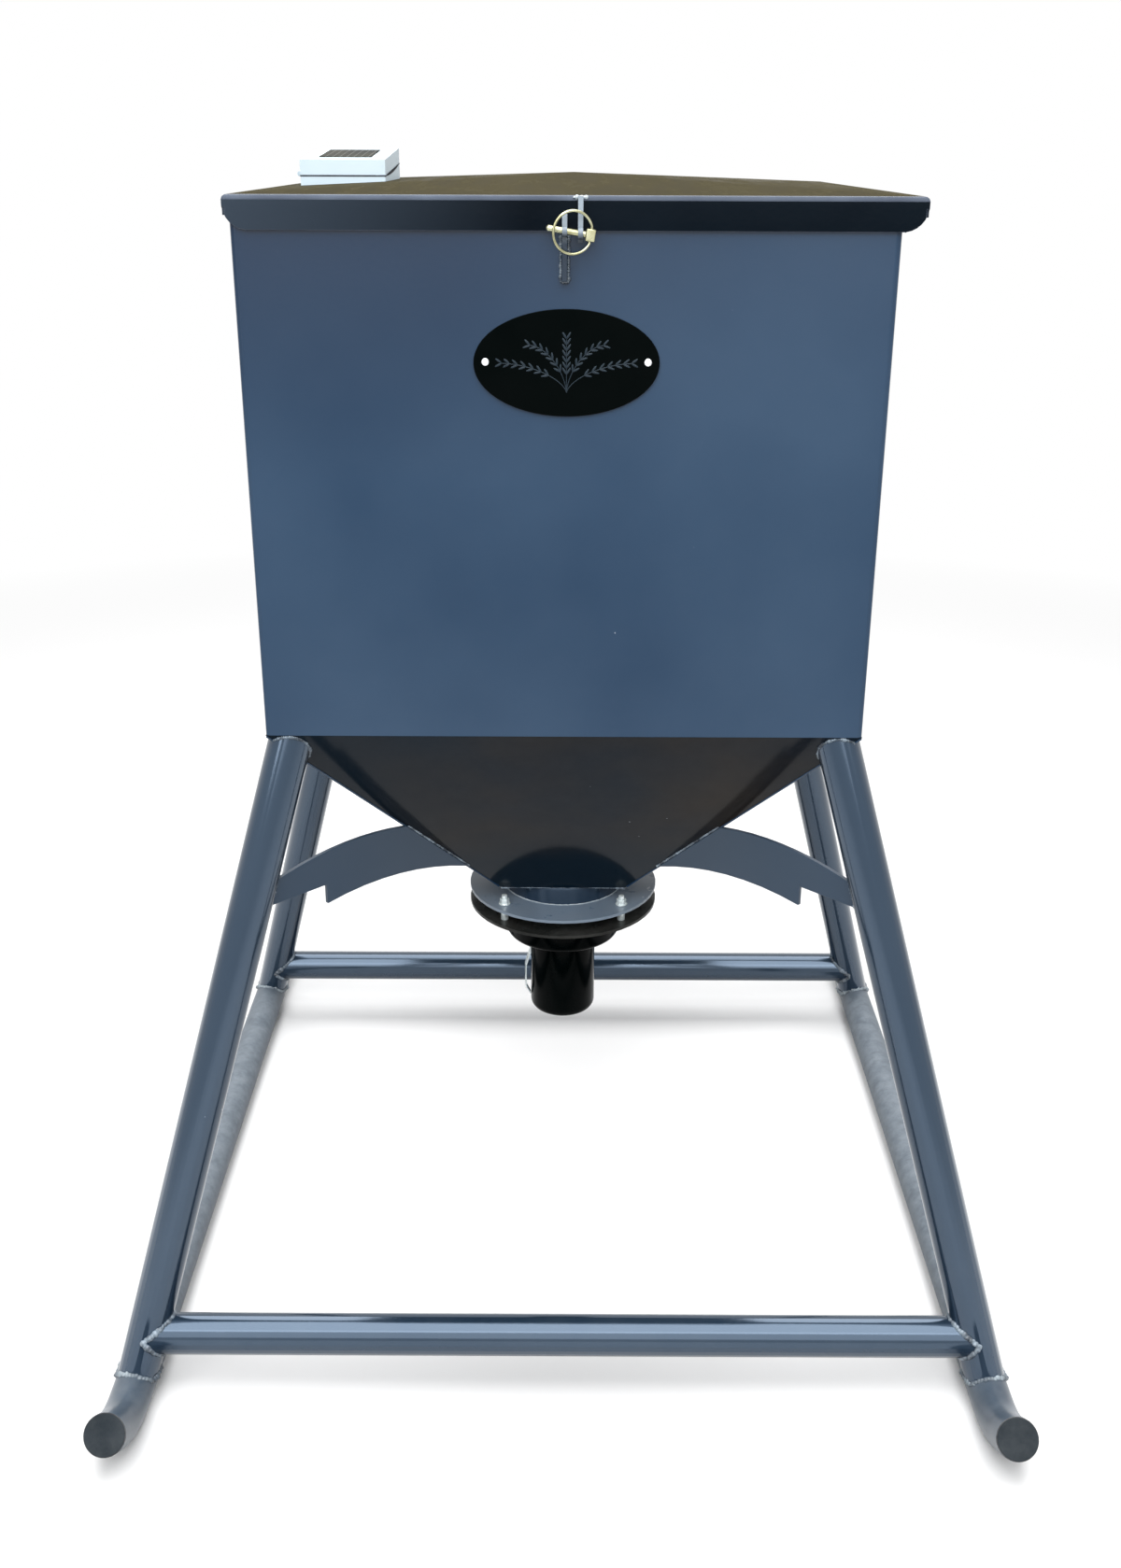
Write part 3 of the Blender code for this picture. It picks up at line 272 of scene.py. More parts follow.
SKY_SHINE = (0.60, 0.77, 1.0)
PIPE_PAINT = painted(
    "pipe_paint", (0.010, 0.022, 0.040), (0.016, 0.030, 0.050), 0.12, 1.78,
    dust=0.02, low=0.5, film=0.004, shine=SKY_SHINE,
)
BRACE_PAINT = painted(
    "brace_paint", (0.024, 0.048, 0.084), (0.034, 0.058, 0.092), 0.34, 1.4, dust=0.05, film=0.01
)
# The outlet flange: a lighter blue than the collar's paint, for feed dust and painted light on its top.
FLANGE_PAINT = painted(
    "flange_paint", (0.150, 0.205, 0.275), (0.180, 0.235, 0.300), 0.26, film=0.1, chips=0.3
)
# The lid's rounded folds: a lighter blue-grey, for wear and a painted highlight along each fold.
FOLD_WEAR_AND_HIGHLIGHT = painted(
    "fold_wear_and_highlight", (0.048, 0.060, 0.086), (0.078, 0.096, 0.130), 0.22, 1.15, scale=14.0, film=0.02
)
BLACK_GLOSS = painted(
    "black_gloss", (0.000, 0.001, 0.001), (0.001, 0.002, 0.002), 0.10, 1.10, dents=0.0015, film=0.002
)
DULL_BLACK = painted(
    "dull_black", (0.008, 0.009, 0.008), (0.020, 0.019, 0.016), 0.24, 1.25, film=0.06, scale=9.0
)
# The welds: dark paint with light patches, painted glints on the beads.
WELD_PAINT_AND_GLINTS = painted(
    "weld_paint_and_glints", (0.010, 0.024, 0.044), (0.26, 0.33, 0.40), 0.12, scale=60.0, cloud=1.0, chips=0.3
)
DARK_WELD = painted(
    "dark_weld", (0.016, 0.036, 0.060), (0.12, 0.16, 0.20), 0.10, 1.6,
    scale=60.0, chips=0.3, chip_scale=300.0,
)
FRESH_WELD = painted(
    "fresh_weld", (0.050, 0.075, 0.105), (0.36, 0.43, 0.48), 0.22, scale=36.0, cloud=1.0, chips=0.3
)
PALE_WELD = painted("pale_weld", (0.34, 0.40, 0.44), (0.50, 0.56, 0.60), 0.28, scale=90.0, film=0.0)

# %% Paint that changes from place to place
def patched(made, colour, both, **ranges):
    """Lays a colour over a finish. Each range is (low, high, share at low, share at high) along an axis."""
    tree = made.node_tree
    shares = [spread(tree, measure(tree, axis), *limits) for axis, limits in ranges.items()]
    return overlaid(made, sums(tree, both, *shares) if both else shares[0], colour)


# The skids: their long middle is greyed by dried mud, their turned-out ends are cleaner.
SKID_PAINT = painted(
    "skid_paint", (0.034, 0.056, 0.086), (0.080, 0.108, 0.142), 0.28, 1.40,
    dust=0.10, low=0.4, film=0.05, scale=16.0,
)
tree = SKID_PAINT.node_tree
middle = spread(tree, sums(tree, "ABSOLUTE", measure(tree, "Y")), 0.50, 0.62, 1.0, 0.0)
mud = times(tree, middle, spread(tree, noise(tree, 42.0, 5.0, 0.65), 0.34, 0.66, 0.35, 0.95))
roughened(overlaid(SKID_PAINT, mud, (0.23, 0.265, 0.30)), mud, 0.4)
# The lid's top: black gloss under a film of pollen and dust, which rain has drawn out a little.
LID_TOP_PAINT, tree, inputs = principled("lid_top_paint")
runs = add(tree, "ShaderNodeMapping", {"Vector": where(tree), "Scale": (34.0, 9.0, 1.0)})
wide = add(tree, "ShaderNodeMapping", {"Vector": where(tree), "Scale": (8.0, 3.0, 1.0)})
streak = spread(tree, noise(tree, 1.0, 5.0, 0.6, runs), 0.42, 0.70)
patch = spread(tree, noise(tree, 1.0, 2.0, at=wide), 0.40, 0.62)
ground = mixed(tree, patch, (0.012, 0.012, 0.012, 1), (0.017, 0.016, 0.013, 1))
tree.links.new(mixed(tree, streak, ground, (0.024, 0.023, 0.018, 1)), inputs["Base Color"])
tree.links.new(grouped(tree, PEEL, peel=0.00003, dents=0.001), inputs["Normal"])
roughened(tuned(LID_TOP_PAINT, Roughness=0.12), streak, 0.25)
POLLEN = {"Sheen_Weight": 0.22, "Sheen_Roughness": 0.35, "Sheen_Tint": (0.62, 0.52, 0.24, 1)}
tuned(LID_TOP_PAINT, IOR=1.0010, **POLLEN)
# The hopper's walls: darker towards the top and most on the left, a painted shade under the lid's lip. Their
# broad lighter clouds are a painted sheen.
HULL_PAINT = painted(
    "hull_paint", (0.010, 0.036, 0.080), (0.032, 0.068, 0.124), 0.24, 1.4,
    film=0.01, scale=2.2, peel=0.00006,
)
UNDER_LID_SHADE = {"Z": (1.36, 1.70, 0.0, 0.85), "X": (-0.15, 0.25, 1.0, 0.35)}
patched(HULL_PAINT, (0.002, 0.013, 0.038), "MULTIPLY", **UNDER_LID_SHADE)
# The hopper's slopes: brown-black patches, a painted reflection of the ground. Near the outlet a darker blue
# is a painted reflection of the collar and flange; it spreads along the left side too.
CONE_PAINT = painted(
    "cone_paint", (0.000, 0.010, 0.024), (0.036, 0.027, 0.019), 0.10, 1.13,
    dents=0.003, chips=0.18, scale=2.8, cloud=1.0,
)
PAINTED_NAVY = {"Z": (0.70, 0.80, 0.85, 0.0), "X": (-0.30, -0.10, 0.75, 0.0)}
patched(CONE_PAINT, (0.002, 0.013, 0.026), "MAXIMUM", **PAINTED_NAVY)
# The lid's folded lips: almost black, with a painted grey reflection towards the left.
LID_PAINT = painted(
    "lid_paint", (0.000, 0.002, 0.005), (0.002, 0.006, 0.011), 0.15, 1.12,
    peel=0.00008, dents=0.001, film=0.004,
)
PAINTED_GREY_SHEEN = {"X": (-0.42, -0.05, 0.85, 0.0), "Z": (1.7055, 1.7085, 1.0, 0.0)}
patched(LID_PAINT, (0.036, 0.050, 0.070), "MULTIPLY", **PAINTED_GREY_SHEEN)
# The latch tabs: light above and dark below, a painted reflection of the sky on their upper part.
TAB_PAINT = painted("tab_paint", (0.010, 0.022, 0.040), (0.014, 0.028, 0.050), 0.20, 1.4, dents=0.0)
patched(TAB_PAINT, (0.30, 0.36, 0.42), None, Z=(1.656, 1.680, 0.0, 0.9))

# %% Plated, moulded and glass pieces
PLATING = {"grit": 0.5, "cloud": 0.9, "scale": 70.0, "dust": 0.2, "low": 0.7, "film": 0.1}
PLATING.update({"peel": 0.00004, "peel_scale": 400.0, "dents": 0.0})
PLASTIC = {"grit": 0.3, "cloud": 0.6, "scale": 18.0, "dust": 0.5, "low": 0.4, "film": 0.04}
PLASTIC.update({"peel": 0.00002, "peel_scale": 700.0, "dents": 0.0})


def plated(name, colour, other, roughness, metal=0.9):
    """Zinc plating: a metal whose tone and roughness vary from patch to patch."""
    return tuned(layered(name, colour, other, roughness, **PLATING), Metallic=metal)


def moulded(name, colour, other, roughness, ior=1.5, **own):
    """Moulded plastic or rubber, with a little grime."""
    return tuned(layered(name, colour, other, roughness, **{**PLASTIC, **own}), IOR=ior)


ZINC = plated("zinc_plating", (0.82, 0.90, 0.91), (0.62, 0.70, 0.71), 0.24, 0.35)
YELLOW_ZINC = plated("yellow_zinc_plating", (0.47, 0.47, 0.31), (0.29, 0.28, 0.15), 0.22, 0.85)
WHITE_PLASTIC = moulded("white_plastic", (0.57, 0.68, 0.75), (0.53, 0.65, 0.72), 0.42)
GREY_PLASTIC = moulded("grey_plastic", (0.20, 0.20, 0.20), (0.16, 0.16, 0.16), 0.5)
PLUG_PLASTIC = moulded(
    "plug_plastic", (0.012, 0.018, 0.024), (0.030, 0.038, 0.046), 0.55, 1.15, peel=0.00030, dust=0.06
)
# A dark finish for painted shade: in the gaps round the plugs, the seam of the control box and its finger
# notch.
PAINTED_SHADE = moulded("painted_shade", (0.016, 0.016, 0.024), (0.026, 0.026, 0.034), 0.6, 1.2)
SIGN_GREY = moulded("sign_grey", (0.014, 0.024, 0.034), (0.022, 0.034, 0.046), 0.30, 1.2, dust=0.0)
RIVET_METAL = plated("rivet_metal", (0.86, 0.88, 0.90), (0.78, 0.80, 0.82), 0.34)

# Dark solar cells: thin silver lines part them every centimetre, under clear resin.
CELL_GLASS, tree, inputs = principled("cell_glass")
HALF_LINE, HALF_CELL = 0.0003, 0.005
row = sums(tree, "PINGPONG", sums(tree, "ADD", measure(tree, "X"), HALF_LINE), HALF_CELL)
line = spread(tree, row, HALF_LINE, 0.0005, 0.35, 0.0)
tone = grouped(tree, CLOUDS, colour=(0.012, 0.014, 0.013, 1), other=(0.050, 0.048, 0.030, 1), scale=26.0)
tree.links.new(tone, inputs["Base Color"])
tuned(overlaid(CELL_GLASS, line, (0.30, 0.31, 0.30)), Roughness=0.16, IOR=1.012)
print("finishes:", [made.name for made in bpy.data.materials if made.use_nodes])

# %% [markdown]
# ## Dressing a solid
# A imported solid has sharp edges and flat-shaded triangles. Real sheet and bar
# catch a thin highlight along every edge. A copy of the solid is merged, its flat
# faces are joined, and a Bevel with weighted normals rounds it by less than a
# millimetre. The copy stands for the node and rides on the node's own body.

# %% Pieces
MERGE = 0.000004
ROUND = radians(38)
FLAT = radians(0.6)


def loose_copy(node):
    """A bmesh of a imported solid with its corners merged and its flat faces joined."""
    made = bmesh.new()
    made.from_mesh(NODES[node].data)
    bmesh.ops.remove_doubles(made, verts=made.verts, dist=MERGE)
    bmesh.ops.dissolve_limit(made, angle_limit=FLAT, verts=made.verts, edges=made.edges)
    return made


def mesh_of(name, made):
    mesh = bpy.data.meshes.new(name)
    made.to_mesh(mesh)
    made.free()
    return mesh


def in_scene(name, data):
    """A new object in the scene."""
    obj = bpy.data.objects.new(name, data)
    bpy.context.scene.collection.objects.link(obj)
    return obj


def stand(name, shape, finishes, body, nodes=()):
    """A piece from a mesh or a bmesh, on its body, standing for its nodes."""
    mesh = mesh_of(name, shape) if isinstance(shape, bmesh.types.BMesh) else shape
    obj = in_scene(name, mesh)
    for finish in finishes:
        if finish.name not in mesh.materials:
            mesh.materials.append(finish)
    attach(obj, body)
    if nodes:
        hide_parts(*nodes)
    return obj


def rounded(obj, width, segments=2, limit="ANGLE"):
    """Rounds the edges, and keeps the flat faces flat-looking."""
    obj.data.shade_smooth()
    bevel = obj.modifiers.new("rounded_edges", "BEVEL")
    bevel.width = width
    bevel.segments = segments
    bevel.limit_method = limit
    bevel.angle_limit = ROUND
    bevel.miter_outer = "MITER_ARC"
    normals = obj.modifiers.new("flat_faces", "WEIGHTED_NORMAL")
    normals.keep_sharp = True
    return obj


def smooth(obj):
    obj.data.shade_smooth()
    obj.data.set_sharp_from_angle(angle=ROUND)
    return obj


def dressed(node, finish, width=0.0):
    """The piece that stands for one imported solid."""
    obj = stand(f"{node}_piece", loose_copy(node), [finish], NODES[node]["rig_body"], [node])
    return rounded(obj, width) if width else smooth(obj)


# %% [markdown]
# ## Plain pieces
# Most solids need only their finish and their rounded edges, so a table gives
# both. Pipes stay without a bevel, because a weld covers each of their ends.

# %% Pipes, plates and fasteners
SIDES = ("left", "right")
CORNERS = [f"{end}_{side}" for end in ("front", "rear") for side in SIDES]
for corner in CORNERS:
    dressed(f"leg_{corner}", PIPE_PAINT)
    dressed(f"brace_{corner}", BRACE_PAINT, 0.0006)
    dressed(f"skid_cap_{corner}", PLUG_PLASTIC, 0.0008)
    dressed(f"bolt_{corner}", ZINC, 0.0004)
    dressed(f"nut_{corner}", ZINC, 0.0005)
    dressed(f"spacer_{corner}", ZINC)
for side in SIDES:
    dressed(f"skid_{side}", SKID_PAINT)
    dressed(f"lid_hinge_fixed_{side}", PIPE_PAINT, 0.0004)
    dressed(f"lid_hinge_moving_{side}", LID_PAINT, 0.0004)
for end in ("front", "rear"):
    dressed(f"rail_{end}", PIPE_PAINT)
for facing in ("front", "rear", "left", "right"):
    dressed(f"hopper_slope_{facing}", CONE_PAINT, 0.0005)
PLAIN = {
    "outlet_collar": (PIPE_PAINT,),
    "outlet_flange": (FLANGE_PAINT, 0.0005),
    "motor_plate": (DULL_BLACK, 0.0007),
    "motor_drum": (BLACK_GLOSS,),
    "motor_can": (BLACK_GLOSS,),
    "feed_funnel": (ZINC,),
    "motor": (ZINC,),
    "motor_shaft": (ZINC,),
    "spinner": (ZINC,),
    "can_clip": (ZINC, 0.0003),
    "hopper_tab": (TAB_PAINT, 0.0005),
    "lid_tab": (TAB_PAINT, 0.0005),
    "latch_pin": (YELLOW_ZINC, 0.0004),
    "timer_unit": (GREY_PLASTIC, 0.0010),
    "solar_panel": (CELL_GLASS, 0.0004),
    "control_box_base": (WHITE_PLASTIC, 0.0006),
    "control_box_cover": (WHITE_PLASTIC, 0.0008),
}
for node, look in PLAIN.items():
    dressed(node, *look)

# %% [markdown]
# ## Rings and bands
# Round and hollow shapes are built the same way: rings of points, and a band of
# faces from each ring to the next. Then the faces are turned outwards.

# %% Rings and bands
def turns(steps):
    """Equal angles all the way round."""
    return [2 * pi * i / steps for i in range(steps)]


def stepped(low, high, steps):
    """Values in equal steps from one to another."""
    return [low + (high - low) * i / steps for i in range(steps + 1)]


def pairs(row, loop):
    """Each item with the next, and in a loop the last with the first."""
    return zip(row, row[1:] + row[:1] if loop else row[1:])


def around(middle, first, second, radius, steps):
    """Points round a circle that lies along two directions."""
    return [middle + (first * cos(a) + second * sin(a)) * radius for a in turns(steps)]


def corners_at(made, points):
    """New vertices at points."""
    return [made.verts.new(point) for point in points]


def bands(made, rings, loop=False):
    """Faces from each ring of vertices to the next. A tip repeats one vertex."""
    for one, two in pairs(rings, loop):
        for (a, b), (c, d) in zip(pairs(one, True), pairs(two, True)):
            made.faces.new(list(dict.fromkeys((a, b, d, c))))


def closed(made):
    bmesh.ops.recalc_face_normals(made, faces=made.faces[:])
    return made


def solid(rings, loop=False):
    """A bmesh from rings of points, which loop or end in a tip or a cap."""
    made = bmesh.new()
    steps = max(len(points) for points in rings)
    rings = [corners_at(made, points) for points in rings]
    tips = [len(ring) == 1 for ring in rings]
    rings = [ring * steps if tip else ring for ring, tip in zip(rings, tips)]
    bands(made, rings, loop)
    for end in (0, -1):
        if not (loop or tips[end]):
            made.faces.new(rings[end])
    return closed(made)


def joined(parts):
    """One bmesh of several."""
    whole = bmesh.new()
    for part in parts:
        piece = mesh_of("part", part)
        whole.from_mesh(piece)
        bpy.data.meshes.remove(piece)
    return whole

# %% [markdown]
# ## Hopper sheets
# The box is four sheets that are bent half way round each corner and welded there.
# One function sweeps a bent outline upwards as a grid, so that the sheet can also
# carry the shallow waves that a welded panel has. They are a fraction of a
# millimetre deep and show only in how the paint shines.

# %% Walls
LOW_WALL, HIGH_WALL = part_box("hopper_wall_front")
HALF = HIGH_WALL.x
SHEET = HIGH_WALL.y - LOW_WALL.y
BEND = 0.009
BEND_STEPS = 5
WALL_COLUMNS = 48
WALL_ROWS = 40
HOLLOW, WAVE, RIPPLE = 0.0006, 0.0004, 0.0002


def corner_arc(middle, start):
    """The bend of the front sheet at one end, over half a quarter turn."""
    points = []
    for degrees in stepped(start, start + 45, BEND_STEPS):
        angle = radians(degrees)
        points.append((middle + BEND * cos(angle), -(HALF - BEND) + BEND * sin(angle), angle))
    return points


def wall_outline():
    """The outer face of the front sheet seen from above, with the way each point faces."""
    centre = HALF - BEND
    flat = [(x, -HALF, radians(270)) for x in stepped(-centre, centre, WALL_COLUMNS)[1:-1]]
    return corner_arc(-centre, 225) + flat + corner_arc(centre, 270)


def waves(across, height, seed):
    """How far the sheet stands in, in metres, at a place on it."""
    edge = max(0.0, 1 - (across / HALF) ** 8)
    wave = sin(5.1 * across + seed) * sin(4.3 * height + 1.7 * seed)
    ripple = sin(9.5 * across - 2 * seed) * cos(8.1 * height + seed)
    return edge * (HOLLOW + WAVE * wave + RIPPLE * ripple)


def wall_row(j, inset, seed):
    """Points along one face of the sheet, at one height."""
    z = LOW_WALL.z + (HIGH_WALL.z - LOW_WALL.z) * j / WALL_ROWS
    edge = 1 - (2 * j / WALL_ROWS - 1) ** 8
    points = []
    for x, y, angle in wall_outline():
        step = inset + waves(x, z, seed) * edge
        points.append(Vector((x - step * cos(angle), y - step * sin(angle), z)))
    return points


def wall_mesh(turn, seed):
    """A bent sheet, from rings that run along its outer face and back along its inner one."""
    made = bmesh.new()
    rings = []
    for j in range(WALL_ROWS + 1):
        ring = wall_row(j, 0.0, seed) + wall_row(j, SHEET, seed)[::-1]
        rings.append(corners_at(made, [turn @ point for point in ring]))
    bands(made, rings)
    for ring in (rings[0], rings[-1]):
        for i in range(len(ring) // 2 - 1):
            made.faces.new((ring[i], ring[i + 1], ring[-i - 2], ring[-i - 1]))
    return closed(made)


for quarter, facing in enumerate(("front", "right", "rear", "left")):
    turn = Matrix.Rotation(quarter * pi / 2, 4, "Z")
    node = f"hopper_wall_{facing}"
    wall = wall_mesh(turn, 1.3 + quarter)
    smooth(stand(f"{node}_sheet", wall, [HULL_PAINT], "frame", [node]))
print("wall sheets: bend radius", BEND, "m, sheet", round(SHEET, 5), "m")

# %% [markdown]
# ## Lid
# The lid is one sheet, creased from corner to corner and folded down on every
# side. Its folds are rounder than its cut edges. A copy of the solid gets a bevel
# whose width comes from the edge: full on the outer folds, a tenth on the rest.
# The top and the lips are the same paint, but the top is seen at a grazing angle
# and lies under pollen and leaf dust, so it has a finish of its own.

# %% Folded lid
FOLD = 0.0058
LOW_LID, HIGH_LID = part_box("lid")
LEVEL, UPRIGHT, LARGE = 0.8, 0.2, 0.05
CREASE = radians(20)
LIP_DEPTH = 0.030


def on_fold(edge):
    """Whether an edge is one of the outer folds between the top and a lip."""
    top, lip = sorted(edge.link_faces, key=lambda face: -face.normal.z)
    return top.normal.z > LEVEL and abs(lip.normal.z) < UPRIGHT and top.calc_area() > LARGE


def lid_mesh():
    made = loose_copy("lid")
    made.normal_update()
    weight = made.edges.layers.float.new("bevel_weight_edge")
    for edge in made.edges:
        if len(edge.link_faces) == 2 and edge.calc_face_angle(0) >= CREASE:
            edge[weight] = 1.0 if on_fold(edge) else 0.1
    for face in made.faces:
        if face.normal.z > LEVEL and face.calc_center_median().z > LOW_LID.z + LIP_DEPTH:
            face.material_index = 1
    return made


LID_FINISHES = [LID_PAINT, LID_TOP_PAINT, FOLD_WEAR_AND_HIGHLIGHT]
lid_piece = stand("lid_sheet", lid_mesh(), LID_FINISHES, "lid", ["lid"])
fold = rounded(lid_piece, FOLD, 4, "WEIGHT").modifiers["rounded_edges"]
fold.use_clamp_overlap = False
# The rounded folds take their own lighter finish: wear and a painted highlight.
fold.material = LID_FINISHES.index(FOLD_WEAR_AND_HIGHLIGHT)
print("lid:", [round(b - a, 4) for a, b in zip(LOW_LID, HIGH_LID)])

# %% [markdown]
# ## Latch ring
# The ring is spring wire bent round, with a straight stretch that turns in the
# pin's head. A swept tube with many sides keeps it round up close.

# %% Ring of wire
def swept(path, radius, sides=16, loop=True):
    """A round wire along points."""
    whole = path[-1:] + path + path[:1] if loop else path[:1] + path + path[-1:]
    rings = []
    for before, point, after in zip(whole, path, whole[2:]):
        along = (after - before).normalized()
        first = along.cross(Vector((0, 1, 0))).normalized()
        rings.append(around(point, first, along.cross(first), radius, sides))
    return solid(rings, loop)


PIN_HEAD = Vector((0.0298, -0.4340, 1.6666))
PIN_SLOPE = radians(9.1)
RING_ANGLE = radians(17.5)
RING = 0.0500
RING_WIRE = 0.0034
STRAIGHT = 0.0200
RING_POINTS = 90


def ring_path():
    radius = RING / 2
    half = asin(STRAIGHT / 2 / radius)
    points = []
    for i in range(RING_POINTS + 1):
        angle = half + 2 * (pi - half) * i / RING_POINTS
        points.append(Vector((radius * cos(angle) - radius * cos(half), 0, -radius * sin(angle))))
    turn = Matrix.Rotation(PIN_SLOPE, 4, "Y") @ Matrix.Rotation(RING_ANGLE, 4, "Z")
    place = Matrix.Translation(PIN_HEAD) @ turn
    return [place @ point for point in points]


ring = swept(ring_path(), RING_WIRE / 2)
smooth(stand("latch_ring_wire", ring, [YELLOW_ZINC], "latch_ring", ["latch_ring"]))

# %% [markdown]
# ## Grooves round the plugs
# A plug's head stands a little proud of its pipe, and the gap under the head shows as a dark line. A thin
# dark ring lies in it, as painted shade. The plug's own mesh says where its head is and which way it faces.

# %% Plug grooves
GROOVE = 0.0007
HEAD = 0.0021
RIM_DEPTH = 0.0002


def head_ring(mesh):
    """Points round the foot of a plug's head."""
    way = max(mesh.polygons, key=lambda face: face.area).normal.normalized()
    top = max(vertex.co.dot(way) for vertex in mesh.vertices)
    rim = [vertex.co for vertex in mesh.vertices if vertex.co.dot(way) > top - RIM_DEPTH]
    middle = sum(rim, Vector()) / len(rim)
    radius = (rim[0] - middle).length + GROOVE / 2
    first = way.orthogonal().normalized()
    return around(middle - way * HEAD, first, way.cross(first), radius, 64)


# A dark ring round each plug's head: painted shade in the gap.
groove_shades = joined(swept(head_ring(NODES[f"skid_cap_{corner}"].data), GROOVE, 8) for corner in CORNERS)
smooth(stand("plug_groove_shades", groove_shades, [PAINTED_SHADE], "frame"))

# %% [markdown]
# ## Weld beads
# Every joint of the frame is welded, and a weld is a row of small overlapping
# drops. A path of plain edges is drawn along each joint, and one Geometry Nodes
# tree turns any path into a bead: it spaces points along the path and puts a
# small drop of random size on each. The result is kept as a plain mesh.

# %% Bead tree
def end_tree(tree, out, copies, finish):
    """Makes a tree's copies real, smooths them and gives them their finish."""
    real = add(tree, "GeometryNodeRealizeInstances", {"Geometry": copies})
    smoothed = add(tree, "GeometryNodeSetShadeSmooth", {"Geometry": real})
    finished = add(tree, "GeometryNodeSetMaterial", {"Geometry": smoothed, "Material": finish})
    tree.links.new(finished, out[0])
    return tree


def bead_tree():
    takes = {"Path": "Geometry", "Radius": 0.0028, "Spacing": 0.0026, "Seed": 3, "Finish": "Material"}
    tree, given, out = new_tree("weld_bead", "GeometryNodeTree", takes, "Geometry", "Geometry")
    curve = add(tree, "GeometryNodeMeshToCurve", {"Mesh": given["Path"]})
    spaced = {"Curve": curve, "Length": given["Spacing"]}
    places = add(tree, "GeometryNodeResampleCurve", spaced, mode="LENGTH")
    drop = add(tree, "GeometryNodeMeshUVSphere", {"Segments": 7, "Rings": 5, "Radius": given["Radius"]})
    sizes = {0: (0.50, 0.50, 0.50), 1: (1.25, 1.25, 1.25), "Seed": given["Seed"]}
    size = add(tree, "FunctionNodeRandomValue", sizes, data_type="FLOAT_VECTOR")
    row = add(tree, "GeometryNodeInstanceOnPoints", {"Points": places, "Instance": drop, "Scale": size})
    return end_tree(tree, out, row, given["Finish"])


def grown(name, base, tree, values):
    """The plain mesh that a Geometry Nodes tree makes from a base mesh."""
    obj = in_scene(name, base)
    modifier = obj.modifiers.new("tree", "NODES")
    modifier.node_group = tree
    for item in tree.interface.items_tree:
        if item.in_out == "INPUT" and item.name in values:
            modifier[item.identifier] = values[item.name]
    graph = bpy.context.evaluated_depsgraph_get()
    mesh = bpy.data.meshes.new_from_object(obj.evaluated_get(graph), depsgraph=graph)
    bpy.data.objects.remove(obj)
    mesh.name = name
    return mesh


def edge_paths(name, paths, loop=False):
    """A mesh of plain edges along paths of points."""
    made = bmesh.new()
    for points in paths:
        for ends in pairs(corners_at(made, points), loop):
            made.edges.new(ends)
    return mesh_of(name, made)


BEADS = bead_tree()
OVERLAP = 0.95


def beads(name, paths, radius, finish, body="frame", seed=3, loop=False):
    values = {"Radius": radius, "Spacing": radius * OVERLAP, "Seed": seed, "Finish": finish}
    mesh = grown(name, edge_paths(f"{name}_path", paths, loop), BEADS, values)
    print(name, len(mesh.polygons), "faces")
    return stand(name, mesh, [finish], body)


# %% [markdown]
# ## Where the joints run
# A leg is a cylinder, so each line along its surface can be followed until it
# meets the hopper's slopes, the rail or the skid. The points where these lines
# end are the joint, whatever its shape. A short quadratic gives the distance at
# which a line meets a cylinder.

# %% Joints of the frame
LOW_RAIL, HIGH_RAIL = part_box("rail_front")
PIPE_RADIUS = (HIGH_RAIL.z - LOW_RAIL.z) / 2
RAIL_HEIGHT = (HIGH_RAIL.z + LOW_RAIL.z) / 2
FOOT_X, FOOT_Y = 0.6439, 0.5915
LEG_INSET = 0.0340
LEG_TOP = HALF - LEG_INSET
EAR_TIP = PIPE_RADIUS + 0.0120
LINE_START = 0.2
HOPPER_BOTTOM = LOW_WALL.z
OUTLET_HALF, OUTLET_HEIGHT = 0.1025, 0.6240
STEEPNESS = (HOPPER_BOTTOM - OUTLET_HEIGHT) / (HALF - OUTLET_HALF)
JOINT_STEPS = 56
QUARTERS = [(sx, sy) for sy in (-1, 1) for sx in (-1, 1)]
ROUND_THE_CORNERS = ((-1, -1), (1, -1), (1, 1), (-1, 1))


def slope_at(height):
    """How far out the hopper's slopes are at a height."""
    return OUTLET_HALF + (height - OUTLET_HEIGHT) / STEEPNESS


def meets_cylinder(start, way, foot, along):
    """How far a line runs from its start until it meets a pipe."""
    flat_way = way - along * way.dot(along)
    flat_start = (start - foot) - along * (start - foot).dot(along)
    a = flat_way.dot(flat_way)
    b = flat_way.dot(flat_start)
    c = flat_start.dot(flat_start) - PIPE_RADIUS ** 2
    return (-b - sqrt(max(0.0, b * b - a * c))) / a


LEGS = []
for sx, sy in QUARTERS:
    foot = Vector((sx * FOOT_X, sy * FOOT_Y, PIPE_RADIUS))
    top = Vector((sx * LEG_TOP, sy * LEG_TOP, HOPPER_BOTTOM))
    LEGS.append((sx, sy, foot, (top - foot).normalized()))


def leg_lines(foot, along):
    """Points round a leg, one for each line along its surface."""
    first = along.cross(Vector((0, 1, 0))).normalized()
    return around(foot, first, along.cross(first), PIPE_RADIUS, JOINT_STEPS)


def leg_top_joint(sx, sy, foot, along):
    points = []
    for start in leg_lines(foot, along):
        reach = slope_at(start.z)
        to_side = (reach - sx * start.x) / (sx * along.x - along.z / STEEPNESS)
        to_face = (reach - sy * start.y) / (sy * along.y - along.z / STEEPNESS)
        to_rim = (HOPPER_BOTTOM - start.z) / along.z
        points.append(start + along * min(max(to_side, to_face), to_rim))
    return points


